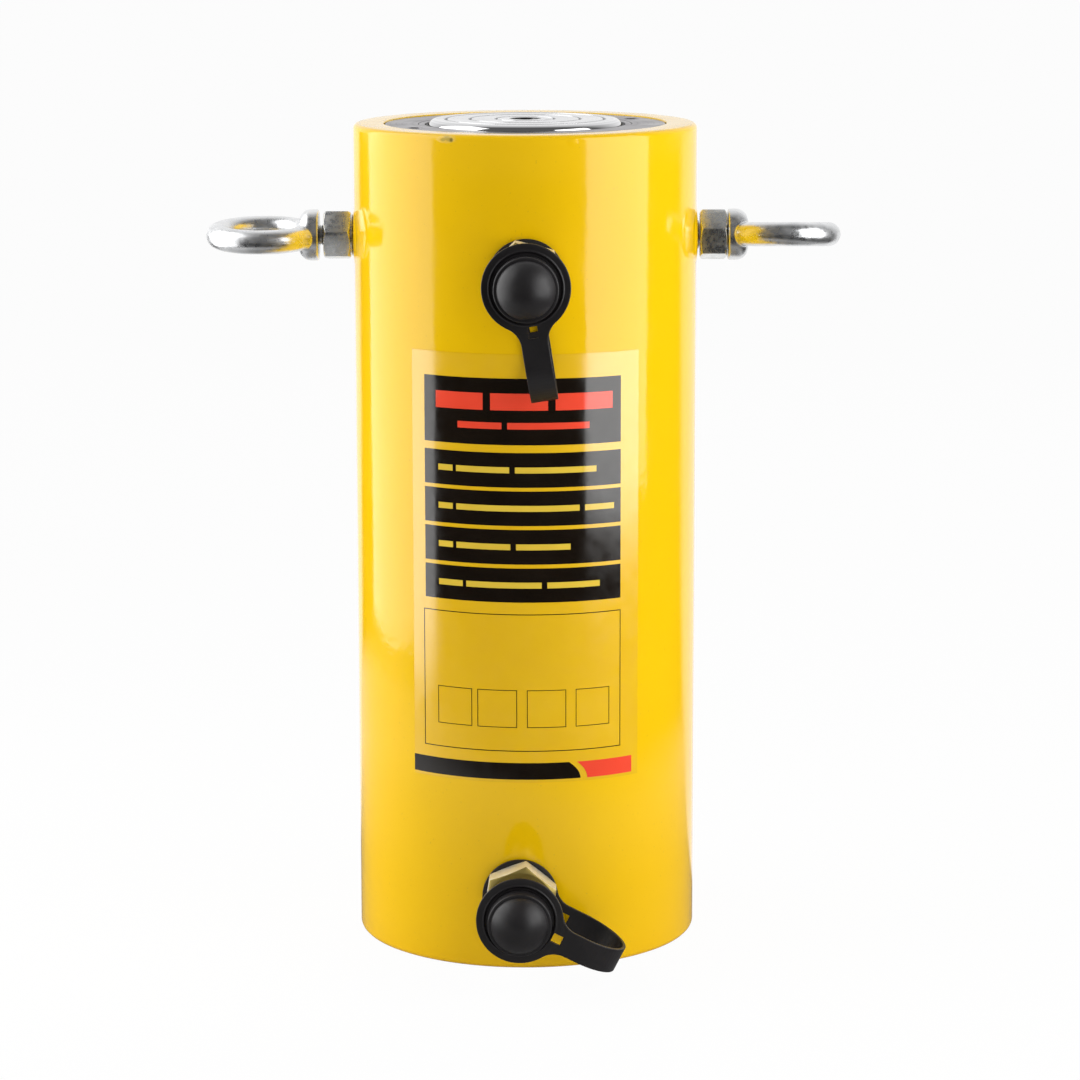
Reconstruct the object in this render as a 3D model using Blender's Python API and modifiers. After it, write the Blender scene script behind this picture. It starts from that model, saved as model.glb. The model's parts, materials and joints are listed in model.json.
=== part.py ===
"""A double-acting hydraulic cylinder, modelled as the pieces it is assembled from.

Metres, +Z up. The origin is the centre of the base face, on the cylinder's axis. The two hose
couplers face -Y and the two eye bolts lie along X.
"""
import math

import bmesh
import bpy
from mathutils import Matrix

# Clearances
FIT = 0.0003                    # between faces that touch on the real object
RUNNING_FIT = 0.0003            # between a moving piece and what guides it
CUTTER_OVERRUN = 0.002          # how far a cutter or a joined shape runs past the face it meets

# Barrel. Its radius drives the gland, the rod, the piston and the saddle inside it
BARREL_RADIUS = 0.093
MOUTH_WALL = 0.0165             # outside the gland's thread
GLAND_THREAD_STEP = 0.0065      # from the bore out to the gland's thread
GLAND_THREAD_RADIUS = BARREL_RADIUS - MOUTH_WALL
BORE_RADIUS = GLAND_THREAD_RADIUS - GLAND_THREAD_STEP
BASE_THICKNESS = 0.035
BASE_CHAMFER = 0.003
FLOOR_CHAMFER = 0.002
RIM_ROUND = 0.0018
RIM_INNER_CHAMFER = 0.001
BORE_LEAD_IN = 0.002
STROKE = 0.300

# Gland, screwed into the barrel's mouth
GLAND_LENGTH = 0.0670
GLAND_NOSE_LENGTH = 0.024
GLAND_RECESS = 0.0006
GLAND_CHAMFER = 0.001
GLAND_END_LAND = 0.004          # below the lowest inner groove
GLAND_LAND = 0.007              # between the inner grooves
GLAND_SEAL_OFFSET = 0.008       # from the gland's lower end to its outer groove
SPANNER_HOLE_RADIUS = 0.004
SPANNER_HOLE_DEPTH = 0.009
SPANNER_HOLE_INSET = 0.010      # from the gland's thread in to the holes' circle
SPANNER_HOLE_CIRCLE = GLAND_THREAD_RADIUS - SPANNER_HOLE_INSET
SPANNER_HOLE_ANGLE = math.radians(28.5)
SPANNER_HOLE_COUNT = 2

# Rings in the gland
GUIDE_RING_WIDTH = 0.0094
GUIDE_RING_THICKNESS = 0.0024
ROD_SEAL_WIDTH = 0.0094
ROD_SEAL_THICKNESS = 0.0069
ROD_SEAL_NOTCH = 0.0045
WIPER_WIDTH = 0.0058
WIPER_THICKNESS = 0.0048
WIPER_LIP = 0.0008
GLAND_O_RING_SECTION = 0.0052
BACKUP_RING_WIDTH = 0.0015

# Piston rod and piston
ROD_TO_BORE = 0.0175            # the ring of oil that pulls the rod back
ROD_RADIUS = BORE_RADIUS - ROD_TO_BORE
ROD_CHAMFER = 0.001
ROD_SHOULDER_WIDTH = 0.0125
SPIGOT_RADIUS = ROD_RADIUS - ROD_SHOULDER_WIDTH
PISTON_LENGTH = 0.0335
PISTON_NECK_LENGTH = 0.0105     # the narrow upper end that leaves the upper port open
PISTON_NECK_STEP = 0.006
PISTON_NECK_RADIUS = BORE_RADIUS - PISTON_NECK_STEP
PISTON_SIDE_CLEARANCE = 0.0006
PISTON_LAND = 0.0015
PISTON_CHAMFER = 0.0005
PISTON_GUIDE_WIDTH = 0.0050
PISTON_GUIDE_THICKNESS = 0.0028
PISTON_SEAL_WIDTH = 0.0062
PISTON_SEAL_THICKNESS = 0.0030
PISTON_SEAL_O_RING_SECTION = 0.0045
PISTON_O_RING_SECTION = 0.0030
PISTON_NUT_HEIGHT = 0.0110
PISTON_NUT_WALL = 0.019
PISTON_NUT_RADIUS = SPIGOT_RADIUS + PISTON_NUT_WALL
PISTON_NUT_SLOT_WIDTH = 0.008
PISTON_NUT_SLOT_DEPTH = 0.005
PISTON_NUT_SLOTS = 4

# Saddle and its screw
SADDLE_RISE = 0.002             # the saddle's top above the barrel's rim
SADDLE_THICKNESS = 0.0117
SADDLE_INSET = 0.0002           # the saddle is this much slimmer than the rod
SADDLE_RADIUS = ROD_RADIUS - SADDLE_INSET
SADDLE_ROUND = 0.004
SADDLE_STUB_RADIUS = 0.015
SADDLE_STUB_LENGTH = 0.008
SADDLE_HOLE_RADIUS = 0.0075
SADDLE_HOLE_CHAMFER = 0.0008
SADDLE_GROOVES = (0.306, 0.574, 0.822)      # shares of the saddle's radius
SADDLE_GROOVE_WIDTH = 0.0022
SADDLE_GROOVE_DEPTH = 0.0012
SCREW_RADIUS = 0.004
SCREW_LENGTH = 0.022
TAPPED_HOLE_SPARE = 0.002       # left under the screw's tip
SCREW_HEAD_RADIUS = 0.0065
SCREW_HEAD_HEIGHT = 0.008
SCREW_SOCKET_FLATS = 0.006
SCREW_SOCKET_DEPTH = 0.004
SCREW_SINK = 0.007              # from the saddle's top down to the screw's head

# Ports in the barrel
PORT_RADIUS = 0.004
BORE_CUT = 0.010                # how far a port's passage is cut into the round bore
PORT_THREAD_RADIUS = 0.0083
PORT_THREAD_LENGTH = 0.0145
LOWER_PORT_ABOVE_FLOOR = 0.006
UPPER_PORT_BELOW_GLAND = 0.006
LOWER_PORT_X = -0.0033
UPPER_PORT_X = 0.0007

# Hexagons: the round land on their ends, as a share of the flats, and its chamfer
HEX_FACE_SHARE = 0.98
HEX_CHAMFER_ANGLE = math.radians(30)

# Coupler: a hexagon adapter with a valve body screwed on it
HEX_FLATS = 0.036
HEX_LENGTH = 0.0153
HEX_STANDOFF = 0.0027           # from the barrel to the hexagon, room for the strap's ring
LOWER_HEX_TURN = math.radians(-9)
UPPER_HEX_TURN = math.radians(16)
ADAPTER_PASSAGE_RADIUS = 0.003
ADAPTER_SPIGOT_RADIUS = 0.0095
ADAPTER_SPIGOT_LENGTH = 0.008
VALVE_THREAD_RADIUS = 0.015
VALVE_THREAD_LENGTH = 0.0240
VALVE_NOSE_RADIUS = 0.0123
VALVE_NOSE_LENGTH = 0.018
VALVE_CHAMFER = 0.0008
CHAMBER_RADIUS = 0.0068
SEAT_HOLE_RADIUS = 0.0036
SEAT_LAND = 0.003
SOCKET_RADIUS = 0.008
SOCKET_DEPTH = 0.015
SOCKET_SEAL_INSET = 0.0055
SOCKET_SEAL_SECTION = 0.0024
SOCKET_SEAL_PROUD = 0.0006
BALL_RADIUS = 0.00476
SPRING_WIRE = 0.0009
SPRING_COIL_RADIUS = 0.0037
SPRING_TURNS = 3
SPRING_TURN_STEPS = 7

# Dust cap and its strap
CAP_WALL = 0.0032
CAP_FLANGE_RADIUS = 0.0171
CAP_FLANGE_LENGTH = 0.0035
CAP_FRONT_WALL = 0.0070
CAP_DOME_RISE = 0.0135          # the dome is half an ellipse, this deep
CAP_DOME_STEPS = 6
STRAP_RING_THICKNESS = 0.0020
STRAP_BAND_THICKNESS = 0.0016
STRAP_BAND_WIDTH = 0.0140
STRAP_FRONT_RING_RADIUS = 0.0230
STRAP_REAR_RING_RADIUS = 0.0203
STRAP_FILLET = 0.012            # between the band's edges and its rings
STRAP_FILLET_STEPS = 4
STRAP_BEND_STEPS = 8
STRAP_FRONT_HOLE = 0.0055
STRAP_FRONT_HOLE_RADIUS = 0.0219
STRAP_REAR_HOLE = 0.0050
STRAP_REAR_HOLE_RADIUS = 0.0262
LOWER_STRAP_REACH = 0.0587
UPPER_STRAP_REACH = 0.0610
LOWER_STRAP_ANGLE = math.radians(-27)
UPPER_STRAP_ANGLE = math.radians(-81)

# Eye bolts and lock nuts, in bosses on the barrel's sides
EYE_BELOW_RIM = 0.061
BOSS_RADIUS = 0.014
BOSS_RISE = 0.0006
BOSS_ROOT = 0.012               # how deep the boss runs into the wall
EYE_SHANK_RADIUS = 0.0055
EYE_THREAD_DEPTH = 0.015
EYE_NUT_FLATS = 0.0246
EYE_NUT_HEIGHT = 0.0146
EYE_NUT_FACE_RADIUS = 0.0105    # the nut's round bearing face, against the boss
EYE_NUT_FACE_HEIGHT = 0.0010
EYE_COLLAR_RADIUS = 0.0139
EYE_COLLAR_LENGTH = 0.0045
EYE_COLLAR_CHAMFER = 0.0010
EYE_SHOULDER_RADIUS = 0.0070
EYE_SHOULDER_HEIGHT = 0.0110
EYE_RING_RADIUS = 0.0242
EYE_RING_SECTION = 0.0130
LEFT_EYE_GAP = 0.0024           # thread left showing between the nut and the collar
RIGHT_EYE_GAP = 0.0003
LEFT_EYE_TILT = math.radians(-3.5)
RIGHT_EYE_TILT = math.radians(6)
LEFT_NUT_TURN = math.radians(11)
RIGHT_NUT_TURN = math.radians(41.7)

# Facets
BARREL_STEPS = 48
ROUND_STEPS = 28
SMALL_STEPS = 16
HOLE_STEPS = 12
O_RING_SIDES = 5
ARC_STEPS = 3
MERGE_DISTANCE = 0.00001
SMOOTH_ANGLE = math.radians(35)

# Heights and places worked out from the sizes above
PISTON_NUT_BOTTOM = BASE_THICKNESS + FIT
PISTON_BOTTOM = PISTON_NUT_BOTTOM + PISTON_NUT_HEIGHT + FIT
PISTON_TOP = PISTON_BOTTOM + PISTON_LENGTH
GLAND_BOTTOM = PISTON_TOP + STROKE + FIT
GLAND_TOP = GLAND_BOTTOM + GLAND_LENGTH
GLAND_SHOULDER = GLAND_BOTTOM + GLAND_NOSE_LENGTH
BODY_HEIGHT = GLAND_TOP + GLAND_RECESS
SADDLE_TOP = BODY_HEIGHT + SADDLE_RISE
ROD_TOP = SADDLE_TOP - SADDLE_THICKNESS - FIT
LOWER_PORT_HEIGHT = BASE_THICKNESS + LOWER_PORT_ABOVE_FLOOR
UPPER_PORT_HEIGHT = GLAND_BOTTOM - UPPER_PORT_BELOW_GLAND
EYE_HEIGHT = BODY_HEIGHT - EYE_BELOW_RIM
BOSS_FACE = BARREL_RADIUS + BOSS_RISE

# Places along an eye bolt, measured outwards from its boss
EYE_NUT_START = FIT + EYE_NUT_FACE_HEIGHT
EYE_NUT_END = EYE_NUT_START + EYE_NUT_HEIGHT

# Depths along a coupler, measured outwards from the barrel's axis
HEX_BACK = BARREL_RADIUS + HEX_STANDOFF
HEX_FRONT = HEX_BACK + HEX_LENGTH
VALVE_BACK = HEX_FRONT + FIT
VALVE_SHOULDER = VALVE_BACK + VALVE_THREAD_LENGTH
VALVE_FRONT = VALVE_SHOULDER + VALVE_NOSE_LENGTH
SOCKET_FLOOR = VALVE_FRONT - SOCKET_DEPTH
SEAT_EDGE = SOCKET_FLOOR - SEAT_LAND
SPIGOT_FRONT = HEX_FRONT + ADAPTER_SPIGOT_LENGTH
CHAMBER_FRONT = SEAT_EDGE - (CHAMBER_RADIUS - SEAT_HOLE_RADIUS)
BALL_CENTRE = SEAT_EDGE + SEAT_HOLE_RADIUS - math.sqrt(2) * (BALL_RADIUS + FIT)
CAP_BACK = VALVE_SHOULDER + FIT
CAP_INNER_RADIUS = VALVE_NOSE_RADIUS + FIT
CAP_RADIUS = CAP_INNER_RADIUS + CAP_WALL
CAP_INNER_FRONT = VALVE_FRONT + FIT
CAP_FRONT = CAP_INNER_FRONT + CAP_FRONT_WALL
STRAP_REAR_DEPTH = BARREL_RADIUS + HEX_STANDOFF / 2
STRAP_FRONT_DEPTH = CAP_BACK + CAP_FLANGE_LENGTH + FIT + STRAP_RING_THICKNESS / 2


def clear_scene():
    for obj in list(bpy.data.objects):
        bpy.data.objects.remove(obj, do_unlink=True)


def new_collection(name):
    collection = bpy.data.collections.new(name)
    bpy.context.scene.collection.children.link(collection)
    return collection


def new_material(name, colour, roughness, metallic):
    material = bpy.data.materials.new(name)
    material.use_nodes = True
    shader = material.node_tree.nodes["Principled BSDF"]
    shader.inputs["Base Color"].default_value = (*colour, 1.0)
    shader.inputs["Roughness"].default_value = roughness
    shader.inputs["Metallic"].default_value = metallic
    return material


FINISHES = {
    "yellow_paint": ((0.90, 0.62, 0.01), 0.20, 0.0),
    "dark_steel": ((0.16, 0.16, 0.17), 0.42, 0.9),
    "chrome": ((0.72, 0.72, 0.73), 0.12, 1.0),
    "ground_steel": ((0.60, 0.61, 0.62), 0.34, 1.0),
    "zinc": ((0.66, 0.68, 0.70), 0.26, 1.0),
    "yellow_zinc": ((0.74, 0.66, 0.42), 0.30, 1.0),
    "olive_zinc": ((0.22, 0.20, 0.08), 0.45, 0.8),
    "rubber": ((0.015, 0.015, 0.017), 0.55, 0.0),
    "polyurethane": ((0.10, 0.16, 0.35), 0.45, 0.0),
    "bronze_filled": ((0.28, 0.17, 0.08), 0.50, 0.0),
}


def arc(centre, radius, start, end, steps=ARC_STEPS):
    """Points of an arc in a profile, from one angle to another in degrees."""
    points = []
    for i in range(steps + 1):
        angle = math.radians(start + (end - start) * i / steps)
        points.append((centre[0] + radius * math.cos(angle), centre[1] + radius * math.sin(angle)))
    return points


def ring_profile(inner, outer, bottom, top):
    """A rectangle's profile, outer side down and inner side up."""
    return [(inner, top), (outer, top), (outer, bottom), (inner, bottom)]


class Assembly:
    """The collections that the pieces and the cutters go in."""

    def __init__(self):
        self.parts = new_collection("Double-acting hydraulic cylinder")
        self.cutters = new_collection("Cutters")

    def frame(self, name, location, rotation=(0, 0, 0)):
        """An empty that carries pieces whose own Z runs outwards from the cylinder."""
        empty = bpy.data.objects.new(name, None)
        empty.location = location
        empty.rotation_euler = rotation
        empty.empty_display_size = BOSS_RADIUS
        self.parts.objects.link(empty)
        return empty

    def place(self, obj, finish, parent=None):
        """Keep an object as a piece, with its own material."""
        for collection in list(obj.users_collection):
            collection.objects.unlink(obj)
        self.parts.objects.link(obj)
        obj.parent = parent
        colour, roughness, metallic = FINISHES[finish]
        obj.data.materials.clear()
        obj.data.materials.append(new_material(obj.name, colour, roughness, metallic))
        return obj

    def tool(self, obj, parent=None):
        """Keep an object as a cutter or as a shape to join or meet."""
        for collection in list(obj.users_collection):
            collection.objects.unlink(obj)
        self.cutters.objects.link(obj)
        obj.parent = parent
        obj.hide_render = True
        obj.display_type = 'WIRE'
        return obj


def turned(name, profile, closed=False, steps=ROUND_STEPS):
    """A piece turned about Z. The profile's outer side runs down; a closed one is a ring."""
    edges = [(i, i + 1) for i in range(len(profile) - 1)]
    if closed:
        edges.append((len(profile) - 1, 0))
    mesh = bpy.data.meshes.new(name)
    mesh.from_pydata([(radius, 0, height) for radius, height in profile], edges, [])
    obj = bpy.data.objects.new(name, mesh)
    screw = obj.modifiers.new("Turn", 'SCREW')
    screw.axis = 'Z'
    screw.steps = steps
    screw.render_steps = steps
    screw.use_merge_vertices = True
    screw.merge_threshold = MERGE_DISTANCE
    return obj


def rod_tool(name, radius, start, end, steps=SMALL_STEPS):
    """A plain cylinder along Z between two heights."""
    bpy.ops.mesh.primitive_cylinder_add(
        vertices=steps, radius=radius, depth=end - start, location=(0, 0, (start + end) / 2))
    obj = bpy.context.object
    obj.name = name
    return obj


def box_tool(name, size, location=(0, 0, 0)):
    bpy.ops.mesh.primitive_cube_add(size=1, location=location)
    obj = bpy.context.object
    obj.name = name
    obj.data.transform(Matrix.Diagonal((*size, 1)))
    return obj


def hex_prism(name, flats, start, end, turn):
    """A hexagon bar along Z. Unturned, one corner points along +Y."""
    obj = rod_tool(name, flats / math.sqrt(3), start, end, steps=6)
    obj.rotation_euler.z = turn
    return obj


def hex_envelope(name, flats, start, end):
    """The double cone that rounds off a hexagon's corners at both ends."""
    corner = flats / math.sqrt(3) + FIT
    face = flats / 2 * HEX_FACE_SHARE
    chamfer = (corner - face) * math.tan(HEX_CHAMFER_ANGLE)
    profile = [(0, end), (face, end), (corner, end - chamfer), (corner, start + chamfer),
               (face, start), (0, start)]
    return turned(name, profile, steps=SMALL_STEPS)


def combine(obj, tool, operation):
    boolean = obj.modifiers.new(tool.name, 'BOOLEAN')
    boolean.operation = operation
    boolean.solver = 'EXACT'
    boolean.object = tool


def o_ring(name, centre_radius, section, height, steps=ROUND_STEPS):
    bpy.ops.mesh.primitive_torus_add(
        major_segments=steps, minor_segments=O_RING_SIDES, location=(0, 0, height),
        major_radius=centre_radius, minor_radius=section / 2)
    obj = bpy.context.object
    obj.name = name
    return obj


def finish_shapes(collection):
    """Turn each piece's modifiers into its mesh and shade it smooth between its edges."""
    bpy.context.view_layer.update()
    depsgraph = bpy.context.evaluated_depsgraph_get()
    pieces = [obj for obj in collection.objects if obj.type == 'MESH']
    meshes = [bpy.data.meshes.new_from_object(obj.evaluated_get(depsgraph)) for obj in pieces]
    for obj, mesh in zip(pieces, meshes):
        obj.modifiers.clear()
        obj.data = mesh
        mesh.name = obj.name
        mesh.shade_smooth()
        mesh.set_sharp_from_angle(angle=SMOOTH_ANGLE)


def gland_grooves():
    """Bottom heights of the gland's three inner grooves, from the lowest up."""
    widths = (GUIDE_RING_WIDTH, ROD_SEAL_WIDTH, GUIDE_RING_WIDTH)
    height = GLAND_BOTTOM + GLAND_END_LAND
    bottoms = []
    for width in widths:
        bottoms.append(height)
        height += width + 2 * FIT + GLAND_LAND
    return bottoms


def port_tools(assembly, name, frame):
    """The threaded mouth and the passage that a port cuts through the barrel's wall."""
    thread_end = BARREL_RADIUS - PORT_THREAD_LENGTH
    mouth = rod_tool(name + "_mouth", PORT_THREAD_RADIUS + FIT, thread_end - FIT,
                     BARREL_RADIUS + HEX_STANDOFF)
    passage = rod_tool(name + "_passage", PORT_RADIUS, BORE_RADIUS - BORE_CUT,
                       thread_end + CUTTER_OVERRUN)
    return [assembly.tool(mouth, frame), assembly.tool(passage, frame)]


def eye_boss_tools(assembly, name, frame):
    """The raised boss that carries an eye bolt, and its tapped hole, seen from the boss's face."""
    boss = rod_tool(name + "_boss", BOSS_RADIUS, -BOSS_ROOT, 0)
    hole = rod_tool(name + "_hole", EYE_SHANK_RADIUS + FIT, -EYE_THREAD_DEPTH - FIT,
                    CUTTER_OVERRUN)
    return assembly.tool(boss, frame), assembly.tool(hole, frame)


def add_barrel(assembly, coupler_frames, eye_frames):
    """The tube and its base in one piece: bore, gland thread, ports and eye bosses."""
    step = GLAND_SHOULDER - FIT
    rim = BODY_HEIGHT
    thread = GLAND_THREAD_RADIUS
    profile = [
        (0, BASE_THICKNESS),
        (BORE_RADIUS - FLOOR_CHAMFER, BASE_THICKNESS),
        (BORE_RADIUS, BASE_THICKNESS + FLOOR_CHAMFER),
        (BORE_RADIUS, step - BORE_LEAD_IN),
        (BORE_RADIUS + BORE_LEAD_IN / 2, step),
        (thread, step),
        (thread, rim - RIM_INNER_CHAMFER),
        (thread + RIM_INNER_CHAMFER, rim),
    ]
    profile += arc((BARREL_RADIUS - RIM_ROUND, rim - RIM_ROUND), RIM_ROUND, 90, 0, 2)
    profile += arc((BARREL_RADIUS - BASE_CHAMFER, BASE_CHAMFER), BASE_CHAMFER, 0, -90, 2)
    profile.append((0, 0))
    barrel = turned("barrel", profile, steps=BARREL_STEPS)
    for side, frame in eye_frames.items():
        boss, hole = eye_boss_tools(assembly, side + "_eye", frame)
        combine(barrel, boss, 'UNION')
        combine(barrel, hole, 'DIFFERENCE')
    for level, frame in coupler_frames.items():
        for tool in port_tools(assembly, level + "_port", frame):
            combine(barrel, tool, 'DIFFERENCE')
    assembly.place(barrel, "yellow_paint")


def add_gland(assembly):
    """The screwed gland that closes the barrel and guides the rod."""
    inner = ROD_RADIUS + 2 * RUNNING_FIT
    outer = GLAND_THREAD_RADIUS - FIT
    nose = BORE_RADIUS - FIT
    seal_bottom = GLAND_BOTTOM + GLAND_SEAL_OFFSET
    seal_top = seal_bottom + GLAND_O_RING_SECTION + BACKUP_RING_WIDTH + 3 * FIT
    seal_floor = nose - GLAND_O_RING_SECTION - FIT
    wiper_floor = ROD_RADIUS + RUNNING_FIT + WIPER_THICKNESS + FIT
    profile = [
        (wiper_floor, GLAND_TOP),
        (outer - GLAND_CHAMFER, GLAND_TOP),
        (outer, GLAND_TOP - GLAND_CHAMFER),
        (outer, GLAND_SHOULDER),
        (nose, GLAND_SHOULDER),
        (nose, seal_top),
        (seal_floor, seal_top),
        (seal_floor, seal_bottom),
        (nose, seal_bottom),
        (nose, GLAND_BOTTOM + GLAND_CHAMFER),
        (nose - GLAND_CHAMFER, GLAND_BOTTOM),
        (inner, GLAND_BOTTOM),
    ]
    widths = (GUIDE_RING_WIDTH, ROD_SEAL_WIDTH, GUIDE_RING_WIDTH)
    depths = (GUIDE_RING_THICKNESS, ROD_SEAL_THICKNESS, GUIDE_RING_THICKNESS)
    for bottom, width, depth in zip(gland_grooves(), widths, depths):
        floor = ROD_RADIUS + RUNNING_FIT + depth + FIT
        top = bottom + width + 2 * FIT
        profile += [(inner, bottom), (floor, bottom), (floor, top), (inner, top)]
    wiper_bottom = GLAND_TOP - WIPER_WIDTH - FIT
    profile += [(inner, wiper_bottom), (wiper_floor, wiper_bottom)]
    gland = turned("gland", profile, closed=True)
    for i in range(SPANNER_HOLE_COUNT):
        angle = SPANNER_HOLE_ANGLE + i * 2 * math.pi / SPANNER_HOLE_COUNT
        hole = rod_tool("spanner_hole_%d" % i, SPANNER_HOLE_RADIUS,
                        GLAND_TOP - SPANNER_HOLE_DEPTH, GLAND_TOP + CUTTER_OVERRUN, HOLE_STEPS)
        hole.location.x = SPANNER_HOLE_CIRCLE * math.cos(angle)
        hole.location.y = SPANNER_HOLE_CIRCLE * math.sin(angle)
        combine(gland, assembly.tool(hole), 'DIFFERENCE')
    assembly.place(gland, "dark_steel")


def add_gland_rings(assembly):
    """The rings in the gland's grooves: two rod guides, the rod seal, the wiper and the static seal."""
    face = ROD_RADIUS + RUNNING_FIT
    lower, middle, upper = (bottom + FIT for bottom in gland_grooves())
    for name, bottom in (("rod_guide_ring_lower", lower), ("rod_guide_ring_upper", upper)):
        profile = ring_profile(face, face + GUIDE_RING_THICKNESS, bottom, bottom + GUIDE_RING_WIDTH)
        assembly.place(turned(name, profile, closed=True), "bronze_filled")

    outer = face + ROD_SEAL_THICKNESS
    centre = face + ROD_SEAL_THICKNESS / 2
    notch = ROD_SEAL_THICKNESS / 4
    profile = [
        (face, middle + ROD_SEAL_WIDTH),
        (outer, middle + ROD_SEAL_WIDTH),
        (outer, middle),
        (centre + notch, middle),
        (centre, middle + ROD_SEAL_NOTCH),
        (centre - notch, middle),
        (face, middle),
    ]
    assembly.place(turned("rod_seal", profile, closed=True), "polyurethane")

    bottom = GLAND_TOP - WIPER_WIDTH
    outer = face + WIPER_THICKNESS
    lip_root = face + WIPER_THICKNESS / 3
    profile = [
        (face, GLAND_TOP + WIPER_LIP),
        (face + WIPER_THICKNESS / 4, GLAND_TOP + WIPER_LIP),
        (face + WIPER_THICKNESS / 2, GLAND_TOP - WIPER_LIP),
        (outer, GLAND_TOP - WIPER_LIP),
        (outer, bottom),
        (lip_root, bottom),
        (lip_root, bottom + WIPER_WIDTH / 2),
    ]
    assembly.place(turned("rod_wiper", profile, closed=True), "rubber")

    nose = BORE_RADIUS - FIT
    groove = GLAND_BOTTOM + GLAND_SEAL_OFFSET + FIT
    ring = o_ring("gland_o_ring", nose - GLAND_O_RING_SECTION / 2, GLAND_O_RING_SECTION,
                  groove + GLAND_O_RING_SECTION / 2)
    assembly.place(ring, "rubber")
    bottom = groove + GLAND_O_RING_SECTION + FIT
    profile = ring_profile(nose - GLAND_O_RING_SECTION, nose, bottom, bottom + BACKUP_RING_WIDTH)
    assembly.place(turned("gland_backup_ring", profile, closed=True), "bronze_filled")


def add_piston_rod(assembly):
    """The rod: a spigot below for the piston, a recess and a tapped hole above for the saddle."""
    hole = SCREW_RADIUS + FIT
    screw_tip = SADDLE_TOP - SCREW_SINK - SCREW_HEAD_HEIGHT - SCREW_LENGTH
    recess_floor = ROD_TOP - SADDLE_STUB_LENGTH
    recess = SADDLE_STUB_RADIUS + FIT
    spigot_end = PISTON_NUT_BOTTOM + PISTON_CHAMFER
    shoulder = PISTON_TOP + FIT
    profile = [
        (0, screw_tip - TAPPED_HOLE_SPARE),
        (hole, screw_tip - TAPPED_HOLE_SPARE),
        (hole, recess_floor),
        (recess, recess_floor),
        (recess, ROD_TOP),
        (ROD_RADIUS - ROD_CHAMFER, ROD_TOP),
        (ROD_RADIUS, ROD_TOP - ROD_CHAMFER),
        (ROD_RADIUS, shoulder),
        (SPIGOT_RADIUS, shoulder),
        (SPIGOT_RADIUS, spigot_end + ROD_CHAMFER),
        (SPIGOT_RADIUS - ROD_CHAMFER, spigot_end),
        (0, spigot_end),
    ]
    assembly.place(turned("piston_rod", profile), "chrome")


def piston_grooves():
    """Bottom heights of the piston's three outer grooves: guide, seal, guide."""
    widths = (PISTON_GUIDE_WIDTH, PISTON_SEAL_WIDTH, PISTON_GUIDE_WIDTH)
    height = PISTON_BOTTOM + PISTON_LAND
    bottoms = []
    for width in widths:
        bottoms.append(height)
        height += width + 2 * FIT + PISTON_LAND
    return bottoms


def add_piston(assembly):
    """The piston on the rod's spigot, with grooves outside and a static seal groove inside."""
    outer = BORE_RADIUS - PISTON_SIDE_CLEARANCE
    bore = SPIGOT_RADIUS + FIT
    neck = PISTON_TOP - PISTON_NECK_LENGTH
    guide_floor = BORE_RADIUS - RUNNING_FIT - PISTON_GUIDE_THICKNESS - FIT
    seal_floor = (BORE_RADIUS - RUNNING_FIT - PISTON_SEAL_THICKNESS
                  - PISTON_SEAL_O_RING_SECTION - 2 * FIT)
    floors = (guide_floor, seal_floor, guide_floor)
    widths = (PISTON_GUIDE_WIDTH, PISTON_SEAL_WIDTH, PISTON_GUIDE_WIDTH)
    profile = [
        (bore, PISTON_TOP),
        (PISTON_NECK_RADIUS, PISTON_TOP),
        (PISTON_NECK_RADIUS, neck),
        (outer, neck),
    ]
    for bottom, width, floor in reversed(list(zip(piston_grooves(), widths, floors))):
        top = bottom + width + 2 * FIT
        profile += [(outer, top), (floor, top), (floor, bottom), (outer, bottom)]
    profile += [
        (outer, PISTON_BOTTOM + PISTON_CHAMFER),
        (outer - PISTON_CHAMFER, PISTON_BOTTOM),
        (bore, PISTON_BOTTOM),
    ]
    groove_depth = PISTON_O_RING_SECTION + FIT
    groove_bottom = PISTON_BOTTOM + PISTON_LENGTH / 2 - PISTON_O_RING_SECTION / 2 - FIT
    groove_top = groove_bottom + PISTON_O_RING_SECTION + 2 * FIT
    profile += [(bore, groove_bottom), (bore + groove_depth, groove_bottom),
                (bore + groove_depth, groove_top), (bore, groove_top)]
    assembly.place(turned("piston", profile, closed=True), "ground_steel")


def add_piston_rings(assembly):
    """The piston's guide rings, its slide seal on a rubber ring, and its static seal."""
    face = BORE_RADIUS - RUNNING_FIT
    lower, middle, upper = (bottom + FIT for bottom in piston_grooves())
    for name, bottom in (("piston_guide_ring_lower", lower), ("piston_guide_ring_upper", upper)):
        profile = ring_profile(face - PISTON_GUIDE_THICKNESS, face, bottom,
                               bottom + PISTON_GUIDE_WIDTH)
        assembly.place(turned(name, profile, closed=True), "bronze_filled")
    seal_inner = face - PISTON_SEAL_THICKNESS
    profile = ring_profile(seal_inner, face, middle, middle + PISTON_SEAL_WIDTH)
    assembly.place(turned("piston_seal", profile, closed=True), "polyurethane")
    energiser = o_ring("piston_seal_o_ring",
                       seal_inner - FIT - PISTON_SEAL_O_RING_SECTION / 2,
                       PISTON_SEAL_O_RING_SECTION, middle + PISTON_SEAL_WIDTH / 2)
    assembly.place(energiser, "rubber")
    static = o_ring("piston_o_ring", SPIGOT_RADIUS + FIT + PISTON_O_RING_SECTION / 2,
                    PISTON_O_RING_SECTION, PISTON_BOTTOM + PISTON_LENGTH / 2)
    assembly.place(static, "rubber")


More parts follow.
